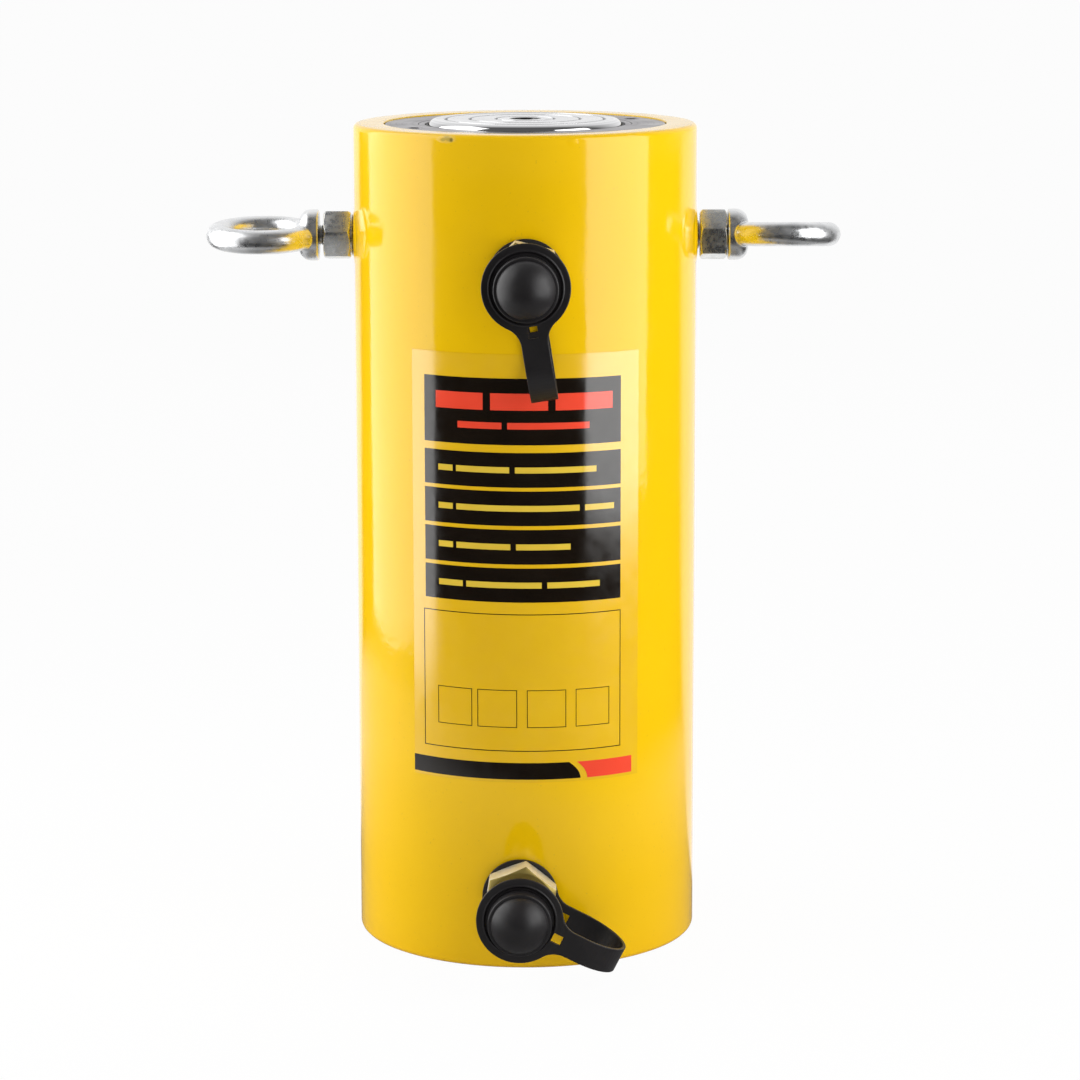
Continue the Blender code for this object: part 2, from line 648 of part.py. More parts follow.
def add_piston_nut(assembly):
    """The slotted round nut that holds the piston against the rod's shoulder."""
    profile = ring_profile(SPIGOT_RADIUS + FIT, PISTON_NUT_RADIUS, PISTON_NUT_BOTTOM,
                           PISTON_NUT_BOTTOM + PISTON_NUT_HEIGHT)
    nut = turned("piston_nut", profile, closed=True)
    for i in range(PISTON_NUT_SLOTS):
        angle = (i + 0.5) * 2 * math.pi / PISTON_NUT_SLOTS
        size = (2 * PISTON_NUT_SLOT_DEPTH, PISTON_NUT_SLOT_WIDTH, 2 * PISTON_NUT_HEIGHT)
        slot = box_tool("piston_nut_slot_%d" % i, size)
        slot.location = (PISTON_NUT_RADIUS * math.cos(angle), PISTON_NUT_RADIUS * math.sin(angle),
                         PISTON_NUT_BOTTOM + PISTON_NUT_HEIGHT / 2)
        slot.rotation_euler.z = angle
        combine(nut, assembly.tool(slot), 'DIFFERENCE')
    assembly.place(nut, "dark_steel")


def add_saddle(assembly):
    """The grooved saddle plate on the rod's end, and the socket screw that holds it."""
    bottom = SADDLE_TOP - SADDLE_THICKNESS
    seat = SADDLE_TOP - SCREW_SINK - SCREW_HEAD_HEIGHT - FIT
    stub_end = bottom - SADDLE_STUB_LENGTH
    profile = [
        (SADDLE_HOLE_RADIUS, SADDLE_TOP - SADDLE_HOLE_CHAMFER),
        (SADDLE_HOLE_RADIUS + SADDLE_HOLE_CHAMFER, SADDLE_TOP),
    ]
    half = SADDLE_GROOVE_WIDTH / 2
    for share in SADDLE_GROOVES:
        radius = share * SADDLE_RADIUS
        profile += [
            (radius - half, SADDLE_TOP),
            (radius, SADDLE_TOP - SADDLE_GROOVE_DEPTH),
            (radius + half, SADDLE_TOP),
        ]
    profile += arc((SADDLE_RADIUS - SADDLE_ROUND, SADDLE_TOP - SADDLE_ROUND), SADDLE_ROUND, 90, 0)
    profile += [
        (SADDLE_RADIUS, bottom),
        (SADDLE_STUB_RADIUS, bottom),
        (SADDLE_STUB_RADIUS, stub_end),
        (SCREW_RADIUS + FIT, stub_end),
        (SCREW_RADIUS + FIT, seat),
        (SADDLE_HOLE_RADIUS, seat),
    ]
    assembly.place(turned("saddle", profile, closed=True), "ground_steel")

    head_top = SADDLE_TOP - SCREW_SINK
    head_bottom = head_top - SCREW_HEAD_HEIGHT
    tip = head_bottom - SCREW_LENGTH
    chamfer = SADDLE_HOLE_CHAMFER
    profile = [
        (0, head_top),
        (SCREW_HEAD_RADIUS - chamfer, head_top),
        (SCREW_HEAD_RADIUS, head_top - chamfer),
        (SCREW_HEAD_RADIUS, head_bottom),
        (SCREW_RADIUS, head_bottom),
        (SCREW_RADIUS, tip + chamfer),
        (SCREW_RADIUS - chamfer, tip),
        (0, tip),
    ]
    screw = turned("saddle_screw", profile, steps=SMALL_STEPS)
    socket = hex_prism("saddle_screw_socket", SCREW_SOCKET_FLATS,
                       head_top - SCREW_SOCKET_DEPTH, head_top + CUTTER_OVERRUN, 0)
    combine(screw, assembly.tool(socket), 'DIFFERENCE')
    assembly.place(screw, "dark_steel")


def add_adapter(assembly, level, frame, hex_turn):
    """The hexagon adapter: pipe thread into the barrel, hexagon, spigot into the valve body."""
    inner_end = BARREL_RADIUS - PORT_THREAD_LENGTH
    adapter = hex_prism(level + "_coupler_adapter", HEX_FLATS, HEX_BACK, HEX_FRONT, hex_turn)
    envelope = hex_envelope(level + "_hex_envelope", HEX_FLATS, HEX_BACK, HEX_FRONT)
    combine(adapter, assembly.tool(envelope, frame), 'INTERSECT')
    chamfer = VALVE_CHAMFER
    core_profile = [
        (0, SPIGOT_FRONT),
        (ADAPTER_SPIGOT_RADIUS - chamfer, SPIGOT_FRONT),
        (ADAPTER_SPIGOT_RADIUS, SPIGOT_FRONT - chamfer),
        (ADAPTER_SPIGOT_RADIUS, HEX_FRONT - CUTTER_OVERRUN),
        (PORT_THREAD_RADIUS, HEX_BACK + CUTTER_OVERRUN),
        (PORT_THREAD_RADIUS, inner_end + chamfer),
        (PORT_THREAD_RADIUS - chamfer, inner_end),
        (0, inner_end),
    ]
    core = turned(level + "_adapter_core", core_profile, steps=SMALL_STEPS)
    combine(adapter, assembly.tool(core, frame), 'UNION')
    bore = rod_tool(level + "_adapter_bore", ADAPTER_PASSAGE_RADIUS, inner_end - CUTTER_OVERRUN,
                    SPIGOT_FRONT + CUTTER_OVERRUN, HOLE_STEPS)
    combine(adapter, assembly.tool(bore, frame), 'DIFFERENCE')
    assembly.place(adapter, "yellow_zinc", frame)


def add_valve_body(assembly, level, frame):
    """The valve body: coarse thread outside, ball chamber, seat, and the socket for a nipple."""
    bore = ADAPTER_SPIGOT_RADIUS + FIT
    spigot_end = SPIGOT_FRONT + FIT
    thread = VALVE_THREAD_RADIUS
    chamfer = VALVE_CHAMFER
    seal_front = VALVE_FRONT - SOCKET_SEAL_INSET
    seal_back = seal_front - SOCKET_SEAL_SECTION - 2 * FIT
    seal_floor = SOCKET_RADIUS - SOCKET_SEAL_PROUD + SOCKET_SEAL_SECTION + FIT
    profile = [
        (SOCKET_RADIUS, VALVE_FRONT - chamfer),
        (SOCKET_RADIUS + chamfer, VALVE_FRONT),
        (VALVE_NOSE_RADIUS - chamfer, VALVE_FRONT),
        (VALVE_NOSE_RADIUS, VALVE_FRONT - chamfer),
        (VALVE_NOSE_RADIUS, VALVE_SHOULDER),
        (thread - chamfer, VALVE_SHOULDER),
        (thread, VALVE_SHOULDER - chamfer),
        (thread, VALVE_BACK + chamfer),
        (thread - chamfer, VALVE_BACK),
        (bore, VALVE_BACK),
        (bore, spigot_end),
        (CHAMBER_RADIUS, spigot_end),
        (CHAMBER_RADIUS, CHAMBER_FRONT),
        (SEAT_HOLE_RADIUS, SEAT_EDGE),
        (SEAT_HOLE_RADIUS, SOCKET_FLOOR),
        (SOCKET_RADIUS, SOCKET_FLOOR),
        (SOCKET_RADIUS, seal_back),
        (seal_floor, seal_back),
        (seal_floor, seal_front),
        (SOCKET_RADIUS, seal_front),
    ]
    body = turned(level + "_coupler_body", profile, closed=True, steps=SMALL_STEPS)
    assembly.place(body, "olive_zinc", frame)
    seal = o_ring(level + "_coupler_seal",
                  SOCKET_RADIUS - SOCKET_SEAL_PROUD + SOCKET_SEAL_SECTION / 2,
                  SOCKET_SEAL_SECTION, (seal_front + seal_back) / 2, steps=SMALL_STEPS)
    assembly.place(seal, "rubber", frame)


def add_check_ball(assembly, level, frame):
    """The ball that closes the valve body's seat."""
    bpy.ops.mesh.primitive_uv_sphere_add(segments=HOLE_STEPS, ring_count=6, radius=BALL_RADIUS)
    ball = bpy.context.object
    ball.name = level + "_coupler_ball"
    ball.location.z = BALL_CENTRE
    assembly.place(ball, "chrome", frame)


def add_spring(assembly, level, frame):
    """The coil spring between the adapter's spigot and the ball."""
    wire = SPRING_WIRE / 2
    ball_contact = BALL_CENTRE - math.sqrt(BALL_RADIUS ** 2 - (SPRING_COIL_RADIUS - wire) ** 2)
    start = SPIGOT_FRONT + FIT + wire
    end = ball_contact - FIT - wire
    steps = SPRING_TURNS * SPRING_TURN_STEPS
    curve = bpy.data.curves.new(level + "_spring_wire", 'CURVE')
    curve.dimensions = '3D'
    curve.bevel_depth = wire
    curve.bevel_resolution = 2
    curve.use_fill_caps = True
    spline = curve.splines.new('POLY')
    spline.points.add(steps)
    for i, point in enumerate(spline.points):
        angle = 2 * math.pi * SPRING_TURNS * i / steps
        height = start + (end - start) * i / steps
        point.co = (SPRING_COIL_RADIUS * math.cos(angle), SPRING_COIL_RADIUS * math.sin(angle),
                    height, 1)
    coil = bpy.data.objects.new(level + "_spring_path", curve)
    assembly.parts.objects.link(coil)
    bpy.context.view_layer.update()
    mesh = bpy.data.meshes.new_from_object(
        coil.evaluated_get(bpy.context.evaluated_depsgraph_get()))
    bpy.data.objects.remove(coil, do_unlink=True)
    work = bmesh.new()
    work.from_mesh(mesh)
    bmesh.ops.remove_doubles(work, verts=work.verts, dist=MERGE_DISTANCE)
    work.to_mesh(mesh)
    work.free()
    spring = bpy.data.objects.new(level + "_coupler_spring", mesh)
    assembly.place(spring, "zinc", frame)


def add_dust_cap(assembly, level, frame):
    """The rubber hat over the coupler's nose, with a groove that holds the strap's front ring."""
    flange_end = CAP_BACK + CAP_FLANGE_LENGTH
    groove_end = flange_end + STRAP_RING_THICKNESS + 2 * FIT
    mid_end = groove_end + CAP_FLANGE_LENGTH
    dome_base = CAP_FRONT - CAP_DOME_RISE
    chamfer = VALVE_CHAMFER
    profile = [(0, CAP_FRONT)]
    for i in range(1, CAP_DOME_STEPS + 1):
        angle = math.pi / 2 * i / CAP_DOME_STEPS
        profile.append((CAP_RADIUS * math.sin(angle), dome_base + CAP_DOME_RISE * math.cos(angle)))
    profile += [
        (CAP_RADIUS, mid_end),
        (CAP_FLANGE_RADIUS - chamfer, mid_end),
        (CAP_FLANGE_RADIUS, mid_end - chamfer),
        (CAP_FLANGE_RADIUS, groove_end),
        (CAP_RADIUS, groove_end),
        (CAP_RADIUS, flange_end),
        (CAP_FLANGE_RADIUS, flange_end),
        (CAP_FLANGE_RADIUS, CAP_BACK + chamfer),
        (CAP_FLANGE_RADIUS - chamfer, CAP_BACK),
        (CAP_INNER_RADIUS, CAP_BACK),
        (CAP_INNER_RADIUS, CAP_INNER_FRONT),
        (0, CAP_INNER_FRONT),
    ]
    cap = turned(level + "_dust_cap", profile, steps=SMALL_STEPS)
    assembly.place(cap, "rubber", frame)


def strap_flare(ring_radius, depth):
    """The band's rows as it leaves a ring: its edges curve from the ring's rim to their width."""
    half = STRAP_BAND_WIDTH / 2
    fillet_end = math.sqrt((ring_radius + STRAP_FILLET) ** 2 - (half + STRAP_FILLET) ** 2)
    fillet_start = fillet_end * ring_radius / (ring_radius + STRAP_FILLET)
    rows = []
    for i in range(STRAP_FILLET_STEPS + 1):
        short = (fillet_end - fillet_start) * (1 - i / STRAP_FILLET_STEPS)
        flare = STRAP_FILLET - math.sqrt(STRAP_FILLET ** 2 - short ** 2)
        rows.append((fillet_end - short, depth, half + flare))
    return rows


def strap_path(reach):
    """The bent band's centre line as (distance from the coupler's axis, depth, half width)."""
    bend = (STRAP_FRONT_DEPTH - STRAP_REAR_DEPTH) / 2
    middle = STRAP_REAR_DEPTH + bend
    path = strap_flare(STRAP_REAR_RING_RADIUS, STRAP_REAR_DEPTH)
    for i in range(STRAP_BEND_STEPS + 1):
        angle = math.pi * (i / STRAP_BEND_STEPS - 0.5)
        path.append((reach - bend + bend * math.cos(angle), middle + bend * math.sin(angle),
                     STRAP_BAND_WIDTH / 2))
    return path + strap_flare(STRAP_FRONT_RING_RADIUS, STRAP_FRONT_DEPTH)[::-1]


def add_strap(assembly, level, frame, angle, reach):
    """The rubber strap: a ring round the coupler's neck, a bent band, a ring round the cap."""
    mesh = bpy.data.meshes.new(level + "_cap_strap")
    work = bmesh.new()
    rows = []
    for distance, depth, half in strap_path(reach):
        rows.append((work.verts.new((distance, -half, depth)), work.verts.new((distance, half, depth))))
    for near, far in zip(rows, rows[1:]):
        work.faces.new((near[0], near[1], far[1], far[0]))
    work.to_mesh(mesh)
    work.free()
    strap = bpy.data.objects.new(level + "_cap_strap", mesh)
    strap.rotation_euler.z = angle
    thicken = strap.modifiers.new("Thickness", 'SOLIDIFY')
    thicken.thickness = STRAP_BAND_THICKNESS
    thicken.offset = 0
    thicken.use_even_offset = True
    rings = (
        ("rear", PORT_THREAD_RADIUS + FIT, STRAP_REAR_RING_RADIUS, STRAP_REAR_DEPTH),
        ("front", CAP_RADIUS + FIT, STRAP_FRONT_RING_RADIUS, STRAP_FRONT_DEPTH),
    )
    for end, inner, outer, depth in rings:
        profile = ring_profile(inner, outer, depth - STRAP_RING_THICKNESS / 2,
                               depth + STRAP_RING_THICKNESS / 2)
        ring = turned("%s_strap_%s_ring" % (level, end), profile, closed=True, steps=SMALL_STEPS)
        combine(strap, assembly.tool(ring, frame), 'UNION')
    holes = (("rear", STRAP_REAR_HOLE, STRAP_REAR_HOLE_RADIUS, STRAP_REAR_DEPTH),
             ("front", STRAP_FRONT_HOLE, STRAP_FRONT_HOLE_RADIUS, STRAP_FRONT_DEPTH))
    for end, side, distance, depth in holes:
        size = (side, side, STRAP_RING_THICKNESS + 2 * CUTTER_OVERRUN)
        hole = box_tool("%s_strap_%s_hole" % (level, end), size)
        hole.location = (distance * math.cos(angle), distance * math.sin(angle), depth)
        hole.rotation_euler.z = angle
        combine(strap, assembly.tool(hole, frame), 'DIFFERENCE')
    assembly.place(strap, "rubber", frame)


def add_coupler(assembly, level, frame, hex_turn, strap_angle, strap_reach):
    add_adapter(assembly, level, frame, hex_turn)
    add_valve_body(assembly, level, frame)
    add_check_ball(assembly, level, frame)
    add_spring(assembly, level, frame)
    add_dust_cap(assembly, level, frame)
    add_strap(assembly, level, frame, strap_angle, strap_reach)


def add_eye_nut(assembly, side, frame, turn):
    """The lock nut between the barrel's boss and the eye bolt's collar."""
    nut = hex_prism(side + "_eye_nut", EYE_NUT_FLATS, EYE_NUT_START, EYE_NUT_END, turn)
    envelope = hex_envelope(side + "_eye_nut_envelope", EYE_NUT_FLATS, EYE_NUT_START, EYE_NUT_END)
    combine(nut, assembly.tool(envelope, frame), 'INTERSECT')
    face = rod_tool(side + "_eye_nut_face", EYE_NUT_FACE_RADIUS, FIT,
                    EYE_NUT_START + CUTTER_OVERRUN)
    combine(nut, assembly.tool(face, frame), 'UNION')
    bore = rod_tool(side + "_eye_nut_bore", EYE_SHANK_RADIUS + FIT, -CUTTER_OVERRUN,
                    EYE_NUT_END + CUTTER_OVERRUN)
    combine(nut, assembly.tool(bore, frame), 'DIFFERENCE')
    assembly.place(nut, "zinc", frame)


def add_eye_bolt(assembly, side, frame, gap, tilt):
    """The forged eye bolt: threaded shank, domed collar and ring."""
    collar = EYE_NUT_END + FIT + gap
    shank = EYE_SHANK_RADIUS
    crown = collar + EYE_SHOULDER_HEIGHT
    profile = [(0, crown)]
    shoulder_start = collar + EYE_COLLAR_LENGTH
    rise = crown - shoulder_start
    run = EYE_COLLAR_RADIUS - EYE_SHOULDER_RADIUS
    for i in range(ARC_STEPS + 1):
        angle = math.pi / 2 * (1 - i / ARC_STEPS)
        profile.append((EYE_SHOULDER_RADIUS + run * math.cos(angle),
                        shoulder_start + rise * math.sin(angle)))
    profile += [
        (EYE_COLLAR_RADIUS, collar + EYE_COLLAR_CHAMFER),
        (EYE_COLLAR_RADIUS - EYE_COLLAR_CHAMFER, collar),
        (shank, collar),
        (shank, -EYE_THREAD_DEPTH + EYE_COLLAR_CHAMFER),
        (shank - EYE_COLLAR_CHAMFER, -EYE_THREAD_DEPTH),
        (0, -EYE_THREAD_DEPTH),
    ]
    bolt = turned(side + "_eye_bolt", profile, steps=SMALL_STEPS)
    bpy.ops.mesh.primitive_torus_add(
        major_segments=ROUND_STEPS, minor_segments=8,
        major_radius=EYE_RING_RADIUS, minor_radius=EYE_RING_SECTION / 2)
    ring = bpy.context.object
    ring.name = side + "_eye_ring"
    ring.location.z = collar + EYE_RING_RADIUS + EYE_RING_SECTION / 2
    ring.rotation_euler = (0, math.pi / 2, tilt)
    combine(bolt, assembly.tool(ring, frame), 'UNION')
    assembly.place(bolt, "zinc", frame)


def build():
    clear_scene()
    assembly = Assembly()
    outward = (math.pi / 2, 0, 0)
    coupler_frames = {
        "lower": assembly.frame("lower_port_axis", (LOWER_PORT_X, 0, LOWER_PORT_HEIGHT), outward),
        "upper": assembly.frame("upper_port_axis", (UPPER_PORT_X, 0, UPPER_PORT_HEIGHT), outward),
    }
    eye_frames = {
        "left": assembly.frame("left_eye_axis", (-BOSS_FACE, 0, EYE_HEIGHT), (0, -math.pi / 2, 0)),
        "right": assembly.frame("right_eye_axis", (BOSS_FACE, 0, EYE_HEIGHT), (0, math.pi / 2, 0)),
    }
    bpy.context.view_layer.update()

    add_barrel(assembly, coupler_frames, eye_frames)
    add_gland(assembly)
    add_gland_rings(assembly)
    add_piston_rod(assembly)
    add_piston(assembly)
    add_piston_rings(assembly)
    add_piston_nut(assembly)
    add_saddle(assembly)
    add_coupler(assembly, "lower", coupler_frames["lower"], LOWER_HEX_TURN,
                LOWER_STRAP_ANGLE, LOWER_STRAP_REACH)
    add_coupler(assembly, "upper", coupler_frames["upper"], UPPER_HEX_TURN,
                UPPER_STRAP_ANGLE, UPPER_STRAP_REACH)
    add_eye_nut(assembly, "left", eye_frames["left"], LEFT_NUT_TURN)
    add_eye_nut(assembly, "right", eye_frames["right"], RIGHT_NUT_TURN)
    add_eye_bolt(assembly, "left", eye_frames["left"], LEFT_EYE_GAP, LEFT_EYE_TILT)
    add_eye_bolt(assembly, "right", eye_frames["right"], RIGHT_EYE_GAP, -RIGHT_EYE_TILT)
    finish_shapes(assembly.parts)


build()
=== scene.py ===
# %% [markdown]
# # A double-acting hydraulic cylinder
#
# A heavy painted barrel, a steel gland screwed into its mouth, a chromed rod with a grooved saddle,
# two forged eye bolts to lift it by, and two hose couplers under rubber dust caps.
# The CAD model is loaded first and stays fixed. Each visible CAD part is then replaced by a finer
# piece, modelled where the CAD says it is, in metres.

import json
import math

import bmesh
import bpy
from mathutils import Matrix, Vector

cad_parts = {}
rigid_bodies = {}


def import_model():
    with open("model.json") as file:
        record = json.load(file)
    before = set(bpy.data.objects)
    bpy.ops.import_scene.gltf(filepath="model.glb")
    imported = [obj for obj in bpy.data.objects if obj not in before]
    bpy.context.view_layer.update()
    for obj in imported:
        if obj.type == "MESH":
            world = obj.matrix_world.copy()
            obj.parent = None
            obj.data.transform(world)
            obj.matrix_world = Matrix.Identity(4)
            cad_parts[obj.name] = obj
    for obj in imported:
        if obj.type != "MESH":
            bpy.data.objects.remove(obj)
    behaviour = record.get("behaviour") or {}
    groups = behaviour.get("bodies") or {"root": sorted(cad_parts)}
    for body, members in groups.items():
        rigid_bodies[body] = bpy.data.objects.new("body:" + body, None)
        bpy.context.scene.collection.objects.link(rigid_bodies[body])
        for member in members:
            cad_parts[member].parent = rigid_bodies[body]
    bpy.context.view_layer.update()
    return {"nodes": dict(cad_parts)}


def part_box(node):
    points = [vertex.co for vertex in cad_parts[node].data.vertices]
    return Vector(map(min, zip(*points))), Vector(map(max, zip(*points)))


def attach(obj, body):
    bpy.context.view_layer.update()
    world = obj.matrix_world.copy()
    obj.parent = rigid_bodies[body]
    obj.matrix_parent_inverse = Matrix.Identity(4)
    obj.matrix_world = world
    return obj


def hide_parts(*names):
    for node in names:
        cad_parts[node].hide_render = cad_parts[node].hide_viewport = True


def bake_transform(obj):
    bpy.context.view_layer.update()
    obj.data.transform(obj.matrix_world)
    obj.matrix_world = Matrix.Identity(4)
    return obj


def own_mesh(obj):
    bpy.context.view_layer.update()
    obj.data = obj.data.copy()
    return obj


for leftover in list(bpy.data.objects):
    bpy.data.objects.remove(leftover)
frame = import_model()

# %% [markdown]
# ## Camera, studio and floor
#
# The photograph looks slightly down on the cylinder from two metres away through a long lens, so the
# camera comes first. The numbers were found by matching the barrel's edges, its rim and its couplers.

# %% The camera
LENS = 124.70
CAMERA_PLACE = Vector((0.0065, -2.032, 0.6021))
CAMERA_PITCH = math.radians(10.711)
CAMERA_YAW = math.radians(0.034)
CAMERA_ROLL = math.radians(-0.089)

bpy.ops.object.camera_add()
camera = bpy.context.object
camera.name = "Camera"
camera.data.lens = LENS
camera.data.sensor_width = 36
camera.matrix_world = (Matrix.Translation(CAMERA_PLACE) @ Matrix.Rotation(-CAMERA_YAW, 4, 'Z')
                       @ Matrix.Rotation(math.pi / 2 - CAMERA_PITCH, 4, 'X')
                       @ Matrix.Rotation(CAMERA_ROLL, 4, 'Z'))
bpy.context.scene.camera = camera
bpy.context.scene.view_settings.view_transform = 'Standard'
print("camera at", tuple(camera.location))

# %% [markdown]
# Glossy paint shows what stands round it. Two tall cream stripes run down the barrel in the photograph:
# they are two big soft boxes, one to the left and a little behind, one to the right and in front. A
# cylinder turns a reflection by twice the angle of its own surface, which gives each box its bearing.

# %% Two soft boxes and a fill behind
def soft_box(name, bearing, distance, width, height, low, radiance):
    """A rectangular lamp facing the cylinder. The bearing is in degrees from the front, right positive,
    and low is the height of its lower edge."""
    bpy.ops.object.light_add(type='AREA')
    lamp = bpy.context.object
    lamp.name = name
    lamp.data.shape = 'RECTANGLE'
    lamp.data.size, lamp.data.size_y = width, height
    lamp.data.energy = radiance * math.pi * width * height
    turn = math.radians(bearing)
    lamp.location = (distance * math.sin(turn), -distance * math.cos(turn), low + height / 2)
    lamp.rotation_euler = (math.pi / 2, 0, turn)
    lamp.visible_camera = False
    return lamp


soft_box("left_soft_box", bearing=-91, distance=0.66, width=0.80, height=1.484, low=0.016, radiance=2.4)
soft_box("right_soft_box", bearing=62.4, distance=0.90, width=0.785, height=1.10, low=0.086, radiance=3.2)
back_fill = soft_box("back_fill", bearing=172, distance=2.4, width=1.8, height=1.2, low=1.1, radiance=2.4)
back_fill.visible_glossy = False

# %% [markdown]
# The world, the floor and every finish are small node trees, so helpers for nodes come next: one makes
# a node and fills its inputs, others map a range, do sums and start a material.

# %% Helpers for nodes
def add_node(owner, kind, inputs=None, **settings):
    """A node with its settings, and with each input either linked or set to a value."""
    node = owner.node_tree.nodes.new(kind)
    for setting, value in settings.items():
        setattr(node, setting, value)
    for socket, value in (inputs or {}).items():
        if isinstance(value, bpy.types.NodeSocket):
            owner.node_tree.links.new(value, node.inputs[socket])
        else:
            node.inputs[socket].default_value = value
    return node


def ramp(owner, value, low, high, start, end):
    """Maps a value between low and high to start and end, and no further."""
    return add_node(owner, 'ShaderNodeMapRange', {"Value": value, "From Min": low, "From Max": high,
                                                  "To Min": start, "To Max": end}).outputs[0]


def number_math(owner, operation, first, second):
    return add_node(owner, 'ShaderNodeMath', {0: first, 1: second}, operation=operation).outputs[0]


def vector_math(owner, operation, first, second=(0, 0, 0)):
    """A vector, or a number where the operation gives one."""
    node = add_node(owner, 'ShaderNodeVectorMath', {0: first, 1: second}, operation=operation)
    return node.outputs['Value' if operation in ('LENGTH', 'DISTANCE', 'DOT_PRODUCT') else 'Vector']


def place_of(owner):
    """The point on the piece, in metres."""
    return add_node(owner, 'ShaderNodeTexCoord').outputs['Object']


def new_finish(name, colour, roughness, metallic=0.0, **sockets):
    """A material with one shader. The sockets are the shader's own, with _ for a space."""
    finish = bpy.data.materials.new(name)
    finish.use_nodes = True
    shader = finish.node_tree.nodes["Principled BSDF"]
    shader.inputs["Base Color"].default_value = (*colour, 1)
    shader.inputs["Roughness"].default_value = roughness
    shader.inputs["Metallic"].default_value = metallic
    for socket, value in sockets.items():
        shader.inputs[socket.replace("_", " ")].default_value = value
    return finish


# %% [markdown]
# The backdrop is white behind the cylinder, and the room in front and above is dim, so that the metal
# has something dark to show too. The camera sees plain white.

# %% The world
AMBIENT = 0.395
BACKDROP_DARKEST = 0.13
TOWARDS_BACKDROP = (0, 1, 0.35)

world = bpy.data.worlds.new("Studio")
bpy.context.scene.world = world
world.use_nodes = True
world.node_tree.nodes.clear()


def white_light(strength):
    white = {'Color': (1, 1, 1, 1), 'Strength': strength}
    return add_node(world, 'ShaderNodeBackground', white).outputs[0]


def mix_light(share, first, second):
    return add_node(world, 'ShaderNodeMixShader', {0: share, 1: first, 2: second}).outputs[0]


direction = add_node(world, 'ShaderNodeTexCoord').outputs['Generated']
nearness = vector_math(world, 'DOT_PRODUCT', direction, TOWARDS_BACKDROP)
backdrop = white_light(ramp(world, nearness, 0.28, 0.95, BACKDROP_DARKEST, 1.0))
ray = add_node(world, 'ShaderNodeLightPath').outputs
mirrored = number_math(world, 'MAXIMUM', ray['Is Glossy Ray'], ray['Is Transmission Ray'])
room = mix_light(mirrored, white_light(AMBIENT), backdrop)
add_node(world, 'ShaderNodeOutputWorld', {0: mix_light(ray['Is Camera Ray'], room, white_light(1.0))})
print("world nodes:", len(world.node_tree.nodes))

# %% [markdown]
# The floor is matt white paper, and it keeps the cylinder's shadow. What shines shows the paper as it lay
# in the studio: a sheet under the cylinder that widens away behind it and ends a little in front. It is
# dimmer close to the cylinder, which shades it.

# %% The floor
PAPER_DARK = 0.03
PAPER_MIDDLE = (-0.12, 0.12, 0)
FLOOR_RADIUS = 14

paper = new_finish("floor_paper", (0.82, 0.82, 0.82), 0.9, Specular_IOR_Level=0.0)
ray = add_node(paper, 'ShaderNodeLightPath').outputs
glowing = number_math(paper, 'MULTIPLY', ray['Is Camera Ray'], 0.96)
glowing = number_math(paper, 'MAXIMUM', glowing, ray['Is Glossy Ray'])
glowing = number_math(paper, 'MAXIMUM', glowing, ray['Is Transmission Ray'])
place = place_of(paper)
axes = add_node(paper, 'ShaderNodeSeparateXYZ', {0: place}).outputs
bearing = number_math(paper, 'ARCTAN2', axes['X'], axes['Y'])
behind = number_math(paper, 'MULTIPLY', ramp(paper, bearing, -0.63, -0.54, PAPER_DARK, 1),
                     ramp(paper, bearing, 0.85, 0.98, 1, PAPER_DARK))
beneath = ramp(paper, vector_math(paper, 'DISTANCE', place, PAPER_MIDDLE), 0.47, 0.60, 1, PAPER_DARK)
shaded = ramp(paper, vector_math(paper, 'LENGTH', place), 0.20, 0.45, 0.22, 0.70)
brightness = number_math(paper, 'MAXIMUM', behind, number_math(paper, 'MULTIPLY', beneath, shaded))
brightness = number_math(paper, 'MAXIMUM', brightness, ray['Is Camera Ray'])
glow = add_node(paper, 'ShaderNodeEmission', {'Strength': brightness})
paper_nodes = paper.node_tree.nodes
surface = add_node(paper, 'ShaderNodeMixShader', {0: glowing, 1: paper_nodes["Principled BSDF"].outputs[0],
                                                  2: glow.outputs[0]})
paper.node_tree.links.new(surface.outputs[0], paper_nodes["Material Output"].inputs[0])

bpy.ops.mesh.primitive_circle_add(vertices=96, radius=FLOOR_RADIUS, fill_type='NGON')
floor = bpy.context.object
floor.name = "floor"
floor.data.materials.append(paper)
print("floor radius:", round(floor.dimensions.x / 2, 1), "m")

# %% [markdown]
# ## Finishes
#
# Each finish works on Object coordinates, so a pattern stays on its piece wherever the piece moves.
# Colours are written as they should look in plain light. Nearly every finish has noise in it, two close
# tones, an uneven gloss and a little relief, so there is a helper for each.

# %% Helpers for finishes
def noise(finish, scale, detail=2.0, roughness=0.5, stretch=None):
    """Noise on the piece, optionally stretched along an axis."""
    where = place_of(finish)
    if stretch:
        where = add_node(finish, 'ShaderNodeMapping', {"Vector": where, "Scale": stretch}).outputs[0]
    return add_node(finish, 'ShaderNodeTexNoise', {"Vector": where, "Scale": scale, "Detail": detail,
                                                   "Roughness": roughness}).outputs['Fac']


def blend_colours(finish, share, first, second):
    """A mix of two colours, each a value or a socket."""
    first, second = (colour if isinstance(colour, bpy.types.NodeSocket) else (*colour, 1)
                     for colour in (first, second))
    return add_node(finish, 'ShaderNodeMix', {0: share, 6: first, 7: second}, data_type='RGBA').outputs[2]


def tones(finish, pattern, first, second, spread=0.15):
    """Two close colours, mixed by a pattern. The spread is how far from its middle the mix reaches."""
    share = ramp(finish, pattern, 0.5 - spread, 0.5 + spread, 0, 1)
    return blend_colours(finish, share, first, second)


def feed(finish, socket, value):
    """Links a value to one of the shader's sockets."""
    shader = finish.node_tree.nodes["Principled BSDF"]
    finish.node_tree.links.new(value, shader.inputs[socket])


